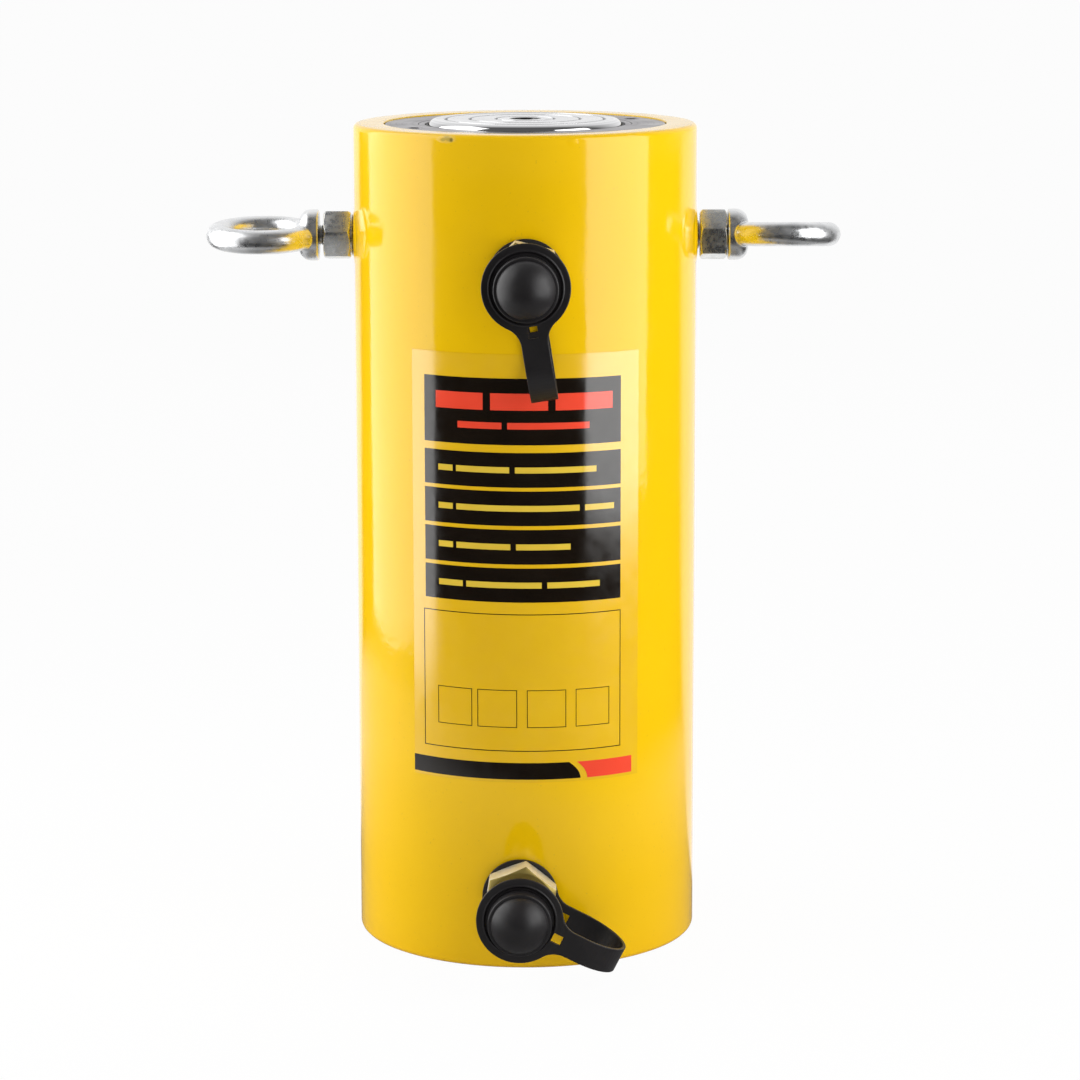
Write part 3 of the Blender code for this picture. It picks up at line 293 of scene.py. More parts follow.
def uneven(finish, pattern, low, high):
    """A roughness that varies between low and high with a pattern."""
    return ramp(finish, pattern, 0.3, 0.7, low, high)


def relief(finish, height, distance):
    """Bump from a height value, in metres, on top of any bump that the finish already has."""
    shader = finish.node_tree.nodes["Principled BSDF"]
    inputs = {"Height": height, "Distance": distance, "Strength": 1.0}
    if shader.inputs["Normal"].links:
        inputs["Normal"] = shader.inputs["Normal"].links[0].from_socket
    feed(finish, "Normal", add_node(finish, 'ShaderNodeBump', inputs).outputs[0])


# %% [markdown]
# The barrel's paint is a thick, glossy yellow enamel. It was sprayed, so it has a faint orange peel, a
# little dust, and some runs low on its left side. One small chip below the rim shows dark primer, and
# the lifted paint round it is raised and painted paler, a painted highlight.

# %% Yellow enamel, with places in metres
CHIP_PLACE = (-0.0405, -0.0836, 0.4456)
PIT_PLACE = (-0.0381, -0.0848, 0.4452)
BLISTER_PLACE = (0.0247, -0.0896, 0.4445)
RUNS_PLACE = (-0.068, -0.0634, 0.162)


def near(finish, place, reach, squash=(1, 1, 1)):
    """1 at a place on the piece, fading to 0 at some distance from it."""
    offset = vector_math(finish, 'SUBTRACT', place_of(finish), place)
    distance = vector_math(finish, 'LENGTH', vector_math(finish, 'MULTIPLY', offset, squash))
    return ramp(finish, distance, 0, reach, 1, 0)


enamel = new_finish("yellow_enamel", (0.90, 0.55, 0.003), 0.10, IOR=1.47)
enamel_colour = tones(enamel, noise(enamel, 9, 3), (0.91, 0.560, 0.003), (0.89, 0.535, 0.002), 0.2)
dust = ramp(enamel, noise(enamel, 900, 0), 0.80, 0.84, 0, 0.30)
ragged = ramp(enamel, noise(enamel, 620, 2), 0.25, 0.75, 0.6, 1.4)
chip = number_math(enamel, 'MULTIPLY', near(enamel, CHIP_PLACE, 0.0072, (1, 1, 2.6)), ragged)
# The lifted edge round the chip is raised, and painted paler as a painted highlight.
lifted_and_highlight = ramp(enamel, chip, 0.12, 0.36, 0, 0.45)
bare = ramp(enamel, chip, 0.42, 0.62, 0, 0.8)
pit = ramp(enamel, near(enamel, PIT_PLACE, 0.0019), 0.3, 0.7, 0, 0.9)
for share, colour in ((dust, (0.55, 0.33, 0.02)), (lifted_and_highlight, (0.88, 0.62, 0.16)),
                      (bare, (0.50, 0.37, 0.08)), (pit, (0.20, 0.15, 0.02))):
    enamel_colour = blend_colours(enamel, share, enamel_colour, colour)
feed(enamel, "Base Color", enamel_colour)
feed(enamel, "Roughness", uneven(enamel, noise(enamel, 30, 4), 0.07, 0.14))
runs = number_math(enamel, 'MULTIPLY', near(enamel, RUNS_PLACE, 0.018, (0.8, 0.8, 1)),
                   ramp(enamel, noise(enamel, 130, 1, stretch=(1, 1, 0.7)), 0.35, 0.75, 0, 1))
for pattern, height in ((noise(enamel, 260, 1), 0.00004),
                        (noise(enamel, 38, 1, stretch=(1, 1, 0.35)), 0.00022), (runs, 0.00012),
                        (near(enamel, BLISTER_PLACE, 0.0035, (1, 1, 1.4)), 0.00022),
                        (lifted_and_highlight, 0.00020), (pit, -0.00012)):
    relief(enamel, pattern, height)
print("enamel nodes:", len(enamel.node_tree.nodes))

# %% [markdown]
# The metals differ in how they were cut and plated. Turned faces carry fine rings round their axis,
# which is noise on the distance from that axis. The front of the gland is glossier and painted nearly
# black, a painted dark reflection. The saddle's hole and grooves are painted darker than its ground
# face, as painted shade in these recesses, and its round shoulder is polished, so it shows the two soft
# boxes.

# %% Turned metal
# The middle of the gland's painted dark reflection.
DARK_REFLECTION_PLACE = (-0.0097, -0.0800, 0.4474)


def distance_from_axis(finish):
    """The distance of a point from the cylinder's axis."""
    return vector_math(finish, 'LENGTH', vector_math(finish, 'MULTIPLY', place_of(finish), (1, 1, 0)))


def turned_rings(finish, pitch):
    """Noise in rings round the axis, as a lathe leaves them."""
    return add_node(finish, 'ShaderNodeTexNoise', {"W": distance_from_axis(finish), "Scale": 1 / pitch,
                                                   "Detail": 3.0}, noise_dimensions='1D').outputs['Fac']


gland_steel = new_finish("gland_steel", (0.23, 0.22, 0.23), 0.36, 1.0)
rings = turned_rings(gland_steel, 0.0011)
relief(gland_steel, rings, 0.00002)
# Painted dark reflection: the gland's front is painted nearly black and made glossy.
painted_dark_reflection = ramp(gland_steel, near(gland_steel, DARK_REFLECTION_PLACE, 0.045), 0, 0.6, 0, 0.75)
plain_roughness = uneven(gland_steel, noise(gland_steel, 60, 4), 0.28, 0.46)
feed(gland_steel, "Roughness", ramp(gland_steel, painted_dark_reflection, 0, 1, plain_roughness, 0.08))
plain_colour = tones(gland_steel, rings, (0.24, 0.23, 0.24), (0.36, 0.345, 0.36))
feed(gland_steel, "Base Color", blend_colours(gland_steel, painted_dark_reflection, plain_colour, (0.030, 0.026, 0.022)))

saddle_steel = new_finish("saddle_steel", (0.70, 0.70, 0.71), 0.2, 1.0)
rings = turned_rings(saddle_steel, 0.0007)
ground = tones(saddle_steel, rings, (0.64, 0.64, 0.65), (0.74, 0.74, 0.755))
# Painted shade: the hole and the floors of the grooves are painted dark.
hole_painted_shade = ramp(saddle_steel, distance_from_axis(saddle_steel), 0.0084, 0.0090, 1, 0)
polished = ramp(saddle_steel, distance_from_axis(saddle_steel), 0.0478, 0.0492, 0, 1)
height = add_node(saddle_steel, 'ShaderNodeSeparateXYZ', {0: place_of(saddle_steel)}).outputs['Z']
groove_painted_shade = number_math(saddle_steel, 'MULTIPLY', ramp(saddle_steel, height, 0.4493, 0.4498, 1, 0),
                   ramp(saddle_steel, polished, 0, 1, 1, 0))
recess_painted_shade = number_math(saddle_steel, 'MAXIMUM', hole_painted_shade, groove_painted_shade)
feed(saddle_steel, "Base Color", blend_colours(saddle_steel, recess_painted_shade, ground, (0.13, 0.13, 0.13)))
ground_roughness = uneven(saddle_steel, noise(saddle_steel, 45, 4), 0.16, 0.30)
feed(saddle_steel, "Roughness", ramp(saddle_steel, polished, 0, 1, ground_roughness, 0.06))
relief(saddle_steel, ramp(saddle_steel, polished, 0, 1, rings, 0.5), 0.00002)

hard_chrome = new_finish("hard_chrome", (0.78, 0.79, 0.80), 0.08, 1.0)
drawn = noise(hard_chrome, 700, 3, stretch=(1, 1, 0.06))
feed(hard_chrome, "Roughness", uneven(hard_chrome, drawn, 0.05, 0.13))
relief(hard_chrome, noise(hard_chrome, 900, 2, stretch=(1, 1, 0.05)), 0.000004)

machined_steel = new_finish("machined_steel", (0.50, 0.50, 0.51), 0.3, 1.0)
feed(machined_steel, "Roughness", uneven(machined_steel, noise(machined_steel, 200, 3), 0.24, 0.4))
relief(machined_steel, turned_rings(machined_steel, 0.0009), 0.00002)
print("turned finishes:", gland_steel.name, saddle_steel.name, hard_chrome.name, machined_steel.name)

# %% [markdown]
# The other finishes share one recipe: two close tones, an uneven gloss and some relief, each from noise
# of its own. The eye bolts were forged, blasted and then zinc plated: bright, but grainy. The nuts were
# cut from bar, so they are smoother. The couplers' threaded bodies wear a dark olive zinc. Their
# hexagons wear yellow zinc, a pale gold that drifts towards green. Their front and its chamfer are
# painted a deeper olive gold as painted shade, where an attribute of the piece marks them. The caps and
# straps are moulded black rubber with a satin skin. The seals inside are rubber, polyurethane or filled
# bronze.

# %% Zinc, rubber and bronze
def mottled_finish(name, first, second, mottle, gloss, low, high, reliefs, metallic=0.0, spread=0.15,
                   **sockets):
    """Two tones, an uneven gloss and relief. Mottle and gloss hold the settings of their noise, and
    each relief its noise's scale and detail and its height."""
    finish = new_finish(name, first, high, metallic, **sockets)
    feed(finish, "Base Color", tones(finish, noise(finish, *mottle), first, second, spread))
    feed(finish, "Roughness", uneven(finish, noise(finish, *gloss), low, high))
    for *pattern, height in reliefs:
        relief(finish, noise(finish, *pattern), height)
    return finish


forged_zinc = mottled_finish(
    "forged_zinc", (0.68, 0.69, 0.70), (0.84, 0.845, 0.855), (130, 5, 0.62), (260, 4, 0.6), 0.22, 0.40,
    [(650, 3, 0.6, 0.000016), (130, 2, 0.00009)], 1.0, spread=0.12)
bar_zinc = mottled_finish(
    "bar_zinc", (0.68, 0.69, 0.68), (0.82, 0.83, 0.83), (160, 4), (500, 3), 0.22, 0.36,
    [(400, 2, 0.000004)], 1.0)
olive_zinc = mottled_finish(
    "olive_zinc", (0.15, 0.14, 0.07), (0.30, 0.26, 0.13), (200, 4), (500, 3), 0.26, 0.44,
    [(800, 2, 0.00003)], 1.0)
gold_zinc = mottled_finish(
    "gold_zinc", (0.90, 0.90, 0.86), (0.86, 0.83, 0.72), (120, 3), (400, 3), 0.36, 0.52,
    [(600, 2, 0.00002)], 0.75)
warm = gold_zinc.node_tree.nodes["Principled BSDF"].inputs["Base Color"].links[0].from_socket
green_share = ramp(gold_zinc, noise(gold_zinc, 60, 2), 0.5, 0.7, 0, 0.5)
green = blend_colours(gold_zinc, green_share, warm, (0.76, 0.77, 0.66))
# Painted shade: the faces marked as looking forwards get a darker olive gold.
front_painted_shade = add_node(gold_zinc, 'ShaderNodeAttribute', attribute_name="front_painted_shade").outputs['Fac']
feed(gold_zinc, "Base Color", blend_colours(gold_zinc, front_painted_shade, green, (0.38, 0.29, 0.08)))

cap_rubber, seal_rubber, seal_urethane, filled_bronze = (
    mottled_finish(name, dark, light, (70, 4), (160, 4), low, high, [(grain, 3, 0.00002)], IOR=1.5)
    for name, dark, light, low, high, grain in (
        ("cap_rubber", (0.010, 0.0085, 0.0095), (0.013, 0.011, 0.012), 0.38, 0.50, 1500),
        ("seal_rubber", (0.012, 0.012, 0.012), (0.020, 0.020, 0.020), 0.45, 0.6, 1200),
        ("seal_urethane", (0.09, 0.15, 0.33), (0.12, 0.19, 0.38), 0.35, 0.5, 900),
        ("filled_bronze", (0.26, 0.16, 0.07), (0.34, 0.21, 0.10), 0.4, 0.55, 900)))
print("mottled finishes:", forged_zinc.name, bar_zinc.name, gold_zinc.name, olive_zinc.name,
      cap_rubber.name, seal_rubber.name, seal_urethane.name, filled_bronze.name)

# %% [markdown]
# ## Modelling helpers
#
# Nearly everything here was turned on a lathe. The way to model that is to draw half of the section as
# a chain of edges and spin it round the axis. Real corners are never quite sharp, and it is the small
# round on each that catches the light, so each corner of a section may have its own radius.

# %% Start a piece, apply a modifier, finish a piece
def start_fresh():
    """Leaves edit mode and deselects everything, so that an operator acts on the new piece alone."""
    if bpy.context.object and bpy.context.object.mode != 'OBJECT':
        bpy.ops.object.mode_set(mode='OBJECT')
    bpy.ops.object.select_all(action='DESELECT')


def new_piece(name, add, **settings):
    """Adds a primitive on its own and names it."""
    start_fresh()
    add(**settings)
    piece = bpy.context.object
    piece.name = name
    return piece


def pick(piece):
    start_fresh()
    piece.select_set(True)
    bpy.context.view_layer.objects.active = piece


def apply_modifier(piece, kind, **settings):
    """Adds a modifier, sets it and applies it, as its panel's Apply does."""
    pick(piece)
    modifier = piece.modifiers.new(kind.title(), kind)
    for setting, value in settings.items():
        setattr(modifier, setting, value)
    bpy.ops.object.modifier_apply(modifier=modifier.name)


def cut_with(piece, tool, operation='DIFFERENCE'):
    """A Boolean with another object, which is then thrown away."""
    apply_modifier(piece, 'BOOLEAN', object=tool, operation=operation, solver='EXACT')
    bpy.data.objects.remove(tool)


def place_piece(piece, matrix):
    """Moves the mesh itself, so that the object stays at the origin."""
    piece.matrix_world = matrix
    pick(piece)
    bpy.ops.object.transform_apply(location=True, rotation=True, scale=True)


def finish_piece(piece, finish, slot, *nodes, body="cylinder_body", smooth=28):
    """Material, shading, body and the CAD nodes that the piece stands for."""
    pick(piece)
    bpy.ops.object.shade_smooth_by_angle(angle=math.radians(smooth))
    piece.data.materials.clear()
    piece.data.materials.append(finish)
    if body:
        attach(piece, body)
    if nodes:
        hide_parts(*nodes)
    print(piece.name, len(piece.data.polygons), "faces")


# %% Draw half a section and spin it
def round_corner(before, corner, after, radius, steps):
    """The points of an arc that takes the place of a corner."""
    back, ahead = before - corner, after - corner
    half = back.angle(ahead) / 2
    reach = min(radius / math.tan(half), back.length * 0.48, ahead.length * 0.48)
    start, end = corner + back.normalized() * reach, corner + ahead.normalized() * reach
    centre = corner + (back.normalized() + ahead.normalized()).normalized() * reach / math.cos(half)
    arc = []
    for i in range(steps + 1):
        point = start.lerp(end, i / steps)
        arc.append(centre + (point - centre).normalized() * (start - centre).length)
    return arc


def rounded_section(points, closed, steps):
    """Points are (radius, height) or (radius, height, corner radius)."""
    corners = [Vector((p[0], p[1])) for p in points]
    section = []
    for i, point in enumerate(points):
        inner = closed or 0 < i < len(points) - 1
        if inner and len(point) > 2 and point[2] > 0:
            section += round_corner(corners[i - 1], corners[i], corners[(i + 1) % len(points)],
                                    point[2], steps)
        else:
            section.append(corners[i])
    return section + section[:1] if closed else section


def first_point(name, across, up):
    """A new piece that is one point, in edit mode, ready to be extruded."""
    piece = new_piece(name, bpy.ops.mesh.primitive_plane_add, size=0.001, location=(across, 0, up))
    bpy.ops.object.transform_apply(location=True)
    bpy.ops.object.mode_set(mode='EDIT')
    bpy.ops.mesh.merge(type='CENTER')
    return piece


def close_up(threshold):
    """Merges the points that coincide, turns every face outwards and leaves edit mode."""
    bpy.ops.mesh.select_all(action='SELECT')
    bpy.ops.mesh.remove_doubles(threshold=threshold)
    bpy.ops.mesh.normals_make_consistent(inside=False)
    bpy.ops.object.mode_set(mode='OBJECT')


def turn(name, points, closed=False, steps=128, corner_steps=3):
    """A piece turned round Z from half of its section."""
    section = rounded_section(points, closed, corner_steps)
    piece = first_point(name, *section[0])
    for last, following in zip(section, section[1:]):
        step = following - last
        bpy.ops.mesh.extrude_vertices_move(TRANSFORM_OT_translate={"value": (step.x, 0, step.y)})
    bpy.ops.mesh.select_all(action='SELECT')
    bpy.ops.mesh.spin(steps=steps, angle=math.tau, center=(0, 0, 0), axis=(0, 0, 1))
    close_up(0.000002)
    return piece


# %% [markdown]
# ## Barrel
#
# The barrel is one tube with a closed base. Its section goes from the floor of the bore up the wall,
# over the rim and down the outside. The two bosses that carry the eye bolts grow out of the wall, and
# their feet are filled with paint. A Boolean would leave a hard seam there, so the wall is subdivided
# near each boss and its vertices are pushed out, with a smooth step down to the wall. The area that is
# subdivided ends between two rows of vertices, so that rounding can't change which faces are in it.

# %% The tube
BARREL_RADIUS = 0.093
BODY_HEIGHT = 0.448
GLAND_SHOULDER = 0.4041
THREAD_RADIUS = 0.0765
BORE_RADIUS = 0.070
BASE = 0.035
EYE_HEIGHT = 0.387
BOSS_RADIUS = 0.014
BOSS_FACE = 0.0936
BOSS_ZONE = 0.020
BOSS_REACH = 0.0202
BOSS_FOOT = 0.004

outside = [(BARREL_RADIUS, EYE_HEIGHT + BOSS_ZONE - i * BOSS_ZONE / 9) for i in range(19)]
barrel = turn("barrel_shell", [
    (0, BASE), (BORE_RADIUS, BASE, 0.002), (BORE_RADIUS, GLAND_SHOULDER, 0.0008),
    (THREAD_RADIUS, GLAND_SHOULDER), (THREAD_RADIUS, BODY_HEIGHT, 0.0007),
    (BARREL_RADIUS, BODY_HEIGHT, 0.0028), *outside,
    (BARREL_RADIUS, 0, 0.003), (0, 0)], steps=256, corner_steps=5)


# %% The bosses
def near_boss(point, reach):
    """True for a point of the outer wall within reach of a boss's middle, on either side."""
    outer = math.hypot(point.x, point.y) > BARREL_RADIUS - 0.0001
    return outer and abs(point.y) < reach and abs(point.z - EYE_HEIGHT) < reach


def raise_boss(point):
    """Pushes a point of the wall out to the boss's face, or part of the way at its foot."""
    from_middle = math.hypot(point.y, point.z - EYE_HEIGHT)
    share = min(max((BOSS_RADIUS + BOSS_FOOT - from_middle) / 0.009, 0), 1)
    share = share * share * (3 - 2 * share)
    side = math.copysign(1, point.x)
    point.x += share * (side * BOSS_FACE - point.x)


pick(barrel)
bpy.ops.object.mode_set(mode='EDIT')
bpy.ops.mesh.select_all(action='DESELECT')
barrel_mesh = bmesh.from_edit_mesh(barrel.data)
for face in barrel_mesh.faces:
    if all(near_boss(v.co, BOSS_REACH) for v in face.verts):
        face.select = True
bmesh.update_edit_mesh(barrel.data)
bpy.ops.mesh.subdivide(number_cuts=3)
for vertex in bmesh.from_edit_mesh(barrel.data).verts:
    if near_boss(vertex.co, BOSS_RADIUS + BOSS_FOOT) or vertex.select:
        raise_boss(vertex.co)
bmesh.update_edit_mesh(barrel.data)
bpy.ops.object.mode_set(mode='OBJECT')
finish_piece(barrel, enamel, "yellow_paint", "barrel", smooth=40)

# %% [markdown]
# ## Label
#
# A printed film runs round the barrel's front, with black rows, short plain bars on them, a thin frame
# with small boxes, and a two-coloured stripe. The print is drawn flat, as on paper, and then wrapped
# round the barrel by turning each distance along the paper into an angle, which keeps it simple to
# draw. It was stuck on a very little askew.

# %% Draw flat, then wrap
FILM_RADIUS = 0.09312
PRINT_LIFT = 0.00007
FILM_THICKNESS = 0.00005
LABEL_TILT = 0.005
PATCH_STEP = 0.002


def flat_patch(left, right, low, high):
    """A flat rectangle of film, cut every two millimetres so that it can be wrapped."""
    columns = max(2, math.ceil((right - left) / PATCH_STEP))
    patch = new_piece("patch", bpy.ops.mesh.primitive_grid_add, x_subdivisions=columns, y_subdivisions=6,
                      size=1, rotation=(math.pi / 2, 0, 0),
                      location=((left + right) / 2, 0, (low + high) / 2))
    patch.scale = (right - left, high - low, 1)
    bpy.ops.object.transform_apply(location=True, rotation=True, scale=True)
    return patch


def join(name, pieces):
    """Joins several objects into one."""
    pick(pieces[0])
    for piece in pieces[1:]:
        piece.select_set(True)
    if len(pieces) > 1:
        bpy.ops.object.join()
    joined = bpy.context.object
    joined.name = name
    return joined


def wrap(patch, radius):
    """Turns distances along the paper into angles round the barrel, and gives the film its thickness."""
    for vertex in patch.data.vertices:
        angle = vertex.co.x / BARREL_RADIUS
        height = vertex.co.z - LABEL_TILT * vertex.co.x
        vertex.co = (radius * math.sin(angle), -radius * math.cos(angle), height)
    patch.data.update()
    apply_modifier(patch, 'SOLIDIFY', thickness=FILM_THICKNESS, offset=1)
    pick(patch)
    bpy.ops.object.mode_set(mode='EDIT')
    bpy.ops.mesh.select_all(action='SELECT')
    bpy.ops.mesh.normals_make_consistent(inside=False)
    bpy.ops.object.mode_set(mode='OBJECT')


def print_layer(name, patches, finish, layer, slot=None):
    """One layer of the label: 0 for the film, more for what is printed on top."""
    printed = join(name, patches)
    wrap(printed, FILM_RADIUS + layer * PRINT_LIFT)
    finish_piece(printed, finish, slot)


# %% Film and inks
def ink(name, colour, other, shine, gloss):
    """Print under a clear film, with a little unevenness in tone and gloss."""
    finish = mottled_finish(name, colour, other, (50, 4), (180, 3), gloss - 0.03, gloss + 0.04, [],
                            spread=0.2, IOR=shine, Specular_IOR_Level=0.8)
    relief(finish, noise(finish, 90, 1, stretch=(1, 1, 0.4)), 0.00006)
    return finish


film_ink = ink("label_film_ink", (0.90, 0.545, 0.003), (0.88, 0.52, 0.002), 1.70, 0.17)
black_ink = ink("label_black_ink", (0.006, 0.003, 0.001), (0.010, 0.006, 0.003), 1.52, 0.12)
red_ink = ink("label_red_ink", (0.96, 0.080, 0.038), (0.93, 0.072, 0.032), 1.52, 0.12)
yellow_ink = ink("label_yellow_ink", (0.84, 0.60, 0.06), (0.78, 0.54, 0.05), 1.52, 0.12)

print_layer("label_film", [flat_patch(-0.0649, 0.065, 0.1035, 0.334)], film_ink, 0, "yellow_paint")

# %% Black rows and the thin frame
HEADER_LEFT, HEADER_RIGHT = -0.0566, 0.0532
ROWS = ((0.2633, 0.2818), (0.2428, 0.2613), (0.2221, 0.2407), (0.2016, 0.2200))
BOXES = ((-0.0490, -0.0291), (-0.0261, -0.0047), (0.0006, 0.0216), (0.0269, 0.0463))
LINE = 0.00045


def outline(left, right, low, high, line):
    """Four thin strips round a rectangle."""
    return [flat_patch(left, right, high - line, high), flat_patch(left, right, low, low + line),
            flat_patch(left, left + line, low + line, high - line),
            flat_patch(right - line, right, low + line, high - line)]


bars = [flat_patch(HEADER_LEFT, HEADER_RIGHT, low, high) for low, high in ((0.2859, 0.3212), *ROWS)]
bars += outline(-0.0578, 0.0533, 0.1205, 0.1952, LINE)
for left, right in BOXES:
    bars += outline(left, right, 0.1335, 0.1540, LINE * 0.8)
print_layer("label_black_print", bars, black_ink, 1)

# %% Plain red and yellow bars
RED_BARS = ((-0.0493, -0.0225, 0.3043, 0.3133), (-0.0185, 0.0120, 0.3043, 0.3133),
            (0.0160, 0.0480, 0.3043, 0.3133), (-0.0365, -0.0125, 0.2943, 0.2978),
            (-0.0095, 0.0345, 0.2943, 0.2978))
ROW_BARS = (((-0.0480, -0.0395), (-0.0375, -0.0085), (-0.0055, 0.0385)),
            ((-0.0480, -0.0395), (-0.0375, 0.0290), (0.0320, 0.0490)),
            ((-0.0480, -0.0395), (-0.0375, -0.0080), (-0.0050, 0.0240)),
            ((-0.0480, -0.0340), (-0.0320, 0.0085), (0.0115, 0.0405)))
HALF_BAR = 0.0016

red_bars = [flat_patch(*bar) for bar in RED_BARS]
yellow_bars = []
for (low, high), spans in zip(ROWS, ROW_BARS):
    middle = (low + high) / 2
    yellow_bars += [flat_patch(left, right, middle - HALF_BAR, middle + HALF_BAR) for left, right in spans]
print_layer("label_yellow_print", yellow_bars, yellow_ink, 2)

# %% The stripe along the label's foot
STRIPE_LOW, STRIPE_HIGH = 0.1051, 0.1142
SLANT_REACH = 0.012


def stripe(left, right, end_at, lean):
    """A stripe with one end moved sideways, more at its foot, in a slight curve."""
    patch = flat_patch(left, right, STRIPE_LOW, STRIPE_HIGH)
    for vertex in patch.data.vertices:
        nearness = max(0, 1 - abs(vertex.co.x - end_at) / SLANT_REACH)
        down = (STRIPE_HIGH - vertex.co.z) / (STRIPE_HIGH - STRIPE_LOW)
        vertex.co.x += nearness * lean * (1 - (1 - down) ** 2)
    return patch


print_layer("label_black_stripe", [stripe(-0.065, 0.0232, 0.0232, 0.0064)], black_ink, 1)
print_layer("label_red_print", [stripe(0.0276, 0.0607, 0.0276, 0.0058), *red_bars], red_ink, 2)

# %% [markdown]
# ## Gland, wiper and rod
#
# The gland is a turned steel ring flush with the barrel's mouth, with two blind holes for a pin
# spanner. The cutter for them flares at its mouth, so the holes come out with a chamfer. The wiper is
# a thin rubber lip round the rod, with a steel ring over its outer part. The rod itself is hard chromed
# and shows when it rises.

# %% The gland and its spanner holes
GLAND_TOP = 0.4474
SPANNER_CIRCLE = 0.0665
SPANNER_ANGLE = math.radians(28.5)
SPANNER_HOLE, SPANNER_DEPTH = 0.004, 0.009

gland = turn("gland_ring", [
    (0.0579, GLAND_TOP, 0.0004), (0.0762, GLAND_TOP, 0.0009), (0.0762, 0.4044), (0.0697, 0.4044),
    (0.0697, 0.3804, 0.001), (0.0531, 0.3804, 0.0005), (0.0531, 0.4413), (0.0579, 0.4413)],
    closed=True, steps=192)
for side in (0, math.pi):
    cutter = turn("spanner_hole_cutter", [
        (0, GLAND_TOP - SPANNER_DEPTH), (SPANNER_HOLE, GLAND_TOP - SPANNER_DEPTH),
        (SPANNER_HOLE, GLAND_TOP - 0.0005), (SPANNER_HOLE + 0.0015, GLAND_TOP + 0.001),
        (0, GLAND_TOP + 0.001)], steps=40)
    angle = SPANNER_ANGLE + side
    place_piece(cutter, Matrix.Translation((SPANNER_CIRCLE * math.cos(angle),
                                            SPANNER_CIRCLE * math.sin(angle), 0)))
    cut_with(gland, cutter)
finish_piece(gland, gland_steel, "dark_steel", "gland")

# %% The wiper and the rod
wiper = turn("wiper_lip", [
    (0.0528, 0.4471, 0.0002), (0.0536, 0.4471, 0.0003), (0.0541, 0.4464, 0.0002), (0.0576, 0.4460),
    (0.0576, 0.4416, 0.0002), (0.0545, 0.4416, 0.0002), (0.0545, 0.4445), (0.0528, 0.4449)],
    closed=True, steps=160)
finish_piece(wiper, seal_rubber, "rubber", "rod_wiper")
case = turn("wiper_case", [(0.0543, 0.4472, 0.0003), (0.0577, 0.4472, 0.0002), (0.0577, 0.4462),
                           (0.0543, 0.4465)], closed=True, steps=160)
finish_piece(case, gland_steel, "dark_steel", "rod_wiper")

rod = turn("chromed_rod", [
    (0, 0.0358), (0.040, 0.0358, 0.0008), (0.040, 0.0804), (0.0525, 0.0804, 0.0005),
    (0.0525, 0.4380, 0.001), (0.0153, 0.4380), (0.0153, 0.4300), (0.0043, 0.4300), (0.0043, 0.4110),
    (0, 0.4110)], steps=192)
finish_piece(rod, hard_chrome, "chrome", "piston_rod", body="plunger")

# %% [markdown]
# ## Saddle
#
# The saddle takes the load, so its face has grooves that stop the load from sliding. Its shoulder is a
# large polished round, which is the brightest edge in the photograph. A socket screw holds it.

# %% The saddle
SADDLE_TOP = 0.450
GROOVES = (0.0160, 0.0300, 0.0430)
GROOVE_FLOOR = SADDLE_TOP - 0.0012
SCREW_SOCKET = 0.006


def groove(radius):
    """The section of one groove in the saddle's face, with a round floor."""
    return [(radius - 0.0011, SADDLE_TOP, 0.0002), (radius - 0.0005, GROOVE_FLOOR, 0.0005),
            (radius + 0.0005, GROOVE_FLOOR, 0.0005), (radius + 0.0011, SADDLE_TOP, 0.0002)]


saddle = turn("grooved_saddle", [
    (0.0075, SADDLE_TOP - 0.0008, 0.0002), (0.0083, SADDLE_TOP, 0.0002),
    *groove(GROOVES[0]), *groove(GROOVES[1]), *groove(GROOVES[2]),
    (0.0523, SADDLE_TOP, 0.004), (0.0523, 0.4383, 0.0005), (0.0150, 0.4383), (0.0150, 0.4303, 0.0004),
    (0.0043, 0.4303), (0.0043, 0.4347), (0.0075, 0.4347)], closed=True, steps=192, corner_steps=6)
finish_piece(saddle, saddle_steel, "ground_steel", "saddle", body="plunger")

# %% Its screw
screw = turn("saddle_socket_screw", [
    (0, 0.4430), (0.0065, 0.4430, 0.0008), (0.0065, 0.4350), (0.0040, 0.4350), (0.0040, 0.4130, 0.0006),
    (0, 0.4130)], steps=64)
cut_with(screw, new_piece("socket_cutter", bpy.ops.mesh.primitive_cylinder_add, vertices=6, depth=0.008,
                          radius=SCREW_SOCKET / math.sqrt(3), location=(0, 0, 0.4430)))
finish_piece(screw, gland_steel, "dark_steel", "saddle_screw", body="plunger")

# %% [markdown]
# ## Eye bolts and their nuts
#
# An eye bolt is one forging: a ring that flows into a domed collar. The collar is turned, the ring is a
# torus, and a voxel remesh melts the two into one skin, which a few rounds of smoothing then blend, as
# a forging die does. Both are modelled standing on the boss's face, with Z pointing outwards.

# %% A hexagon with its corners rounded off by a cone
CONE_ANGLE = math.radians(30)
FACE_SHARE = 0.97
PAST_CORNER = 0.0003


def hexagon(name, flats, start, end, turn_by):
    """A hexagon bar along Z. Unturned, one corner points along +Y."""
    corner = flats / math.sqrt(3)
    bar = new_piece(name, bpy.ops.mesh.primitive_cylinder_add, vertices=6, radius=corner,
                    depth=end - start, location=(0, 0, (start + end) / 2), rotation=(0, 0, turn_by))
    bpy.ops.object.transform_apply(location=True, rotation=True, scale=True)
    face = flats / 2 * FACE_SHARE
    edge = corner + PAST_CORNER
    drop = (edge - face) * math.tan(CONE_ANGLE)
    cone = turn(name + "_cone", [(0, end), (face, end), (edge, end - drop), (edge, start + drop),
                                 (face, start), (0, start)], steps=144)
    cut_with(bar, cone, 'INTERSECT')
    apply_modifier(bar, 'BEVEL', width=0.00022, segments=2, limit_method='ANGLE',
                   angle_limit=math.radians(28), use_clamp_overlap=True)
    return bar


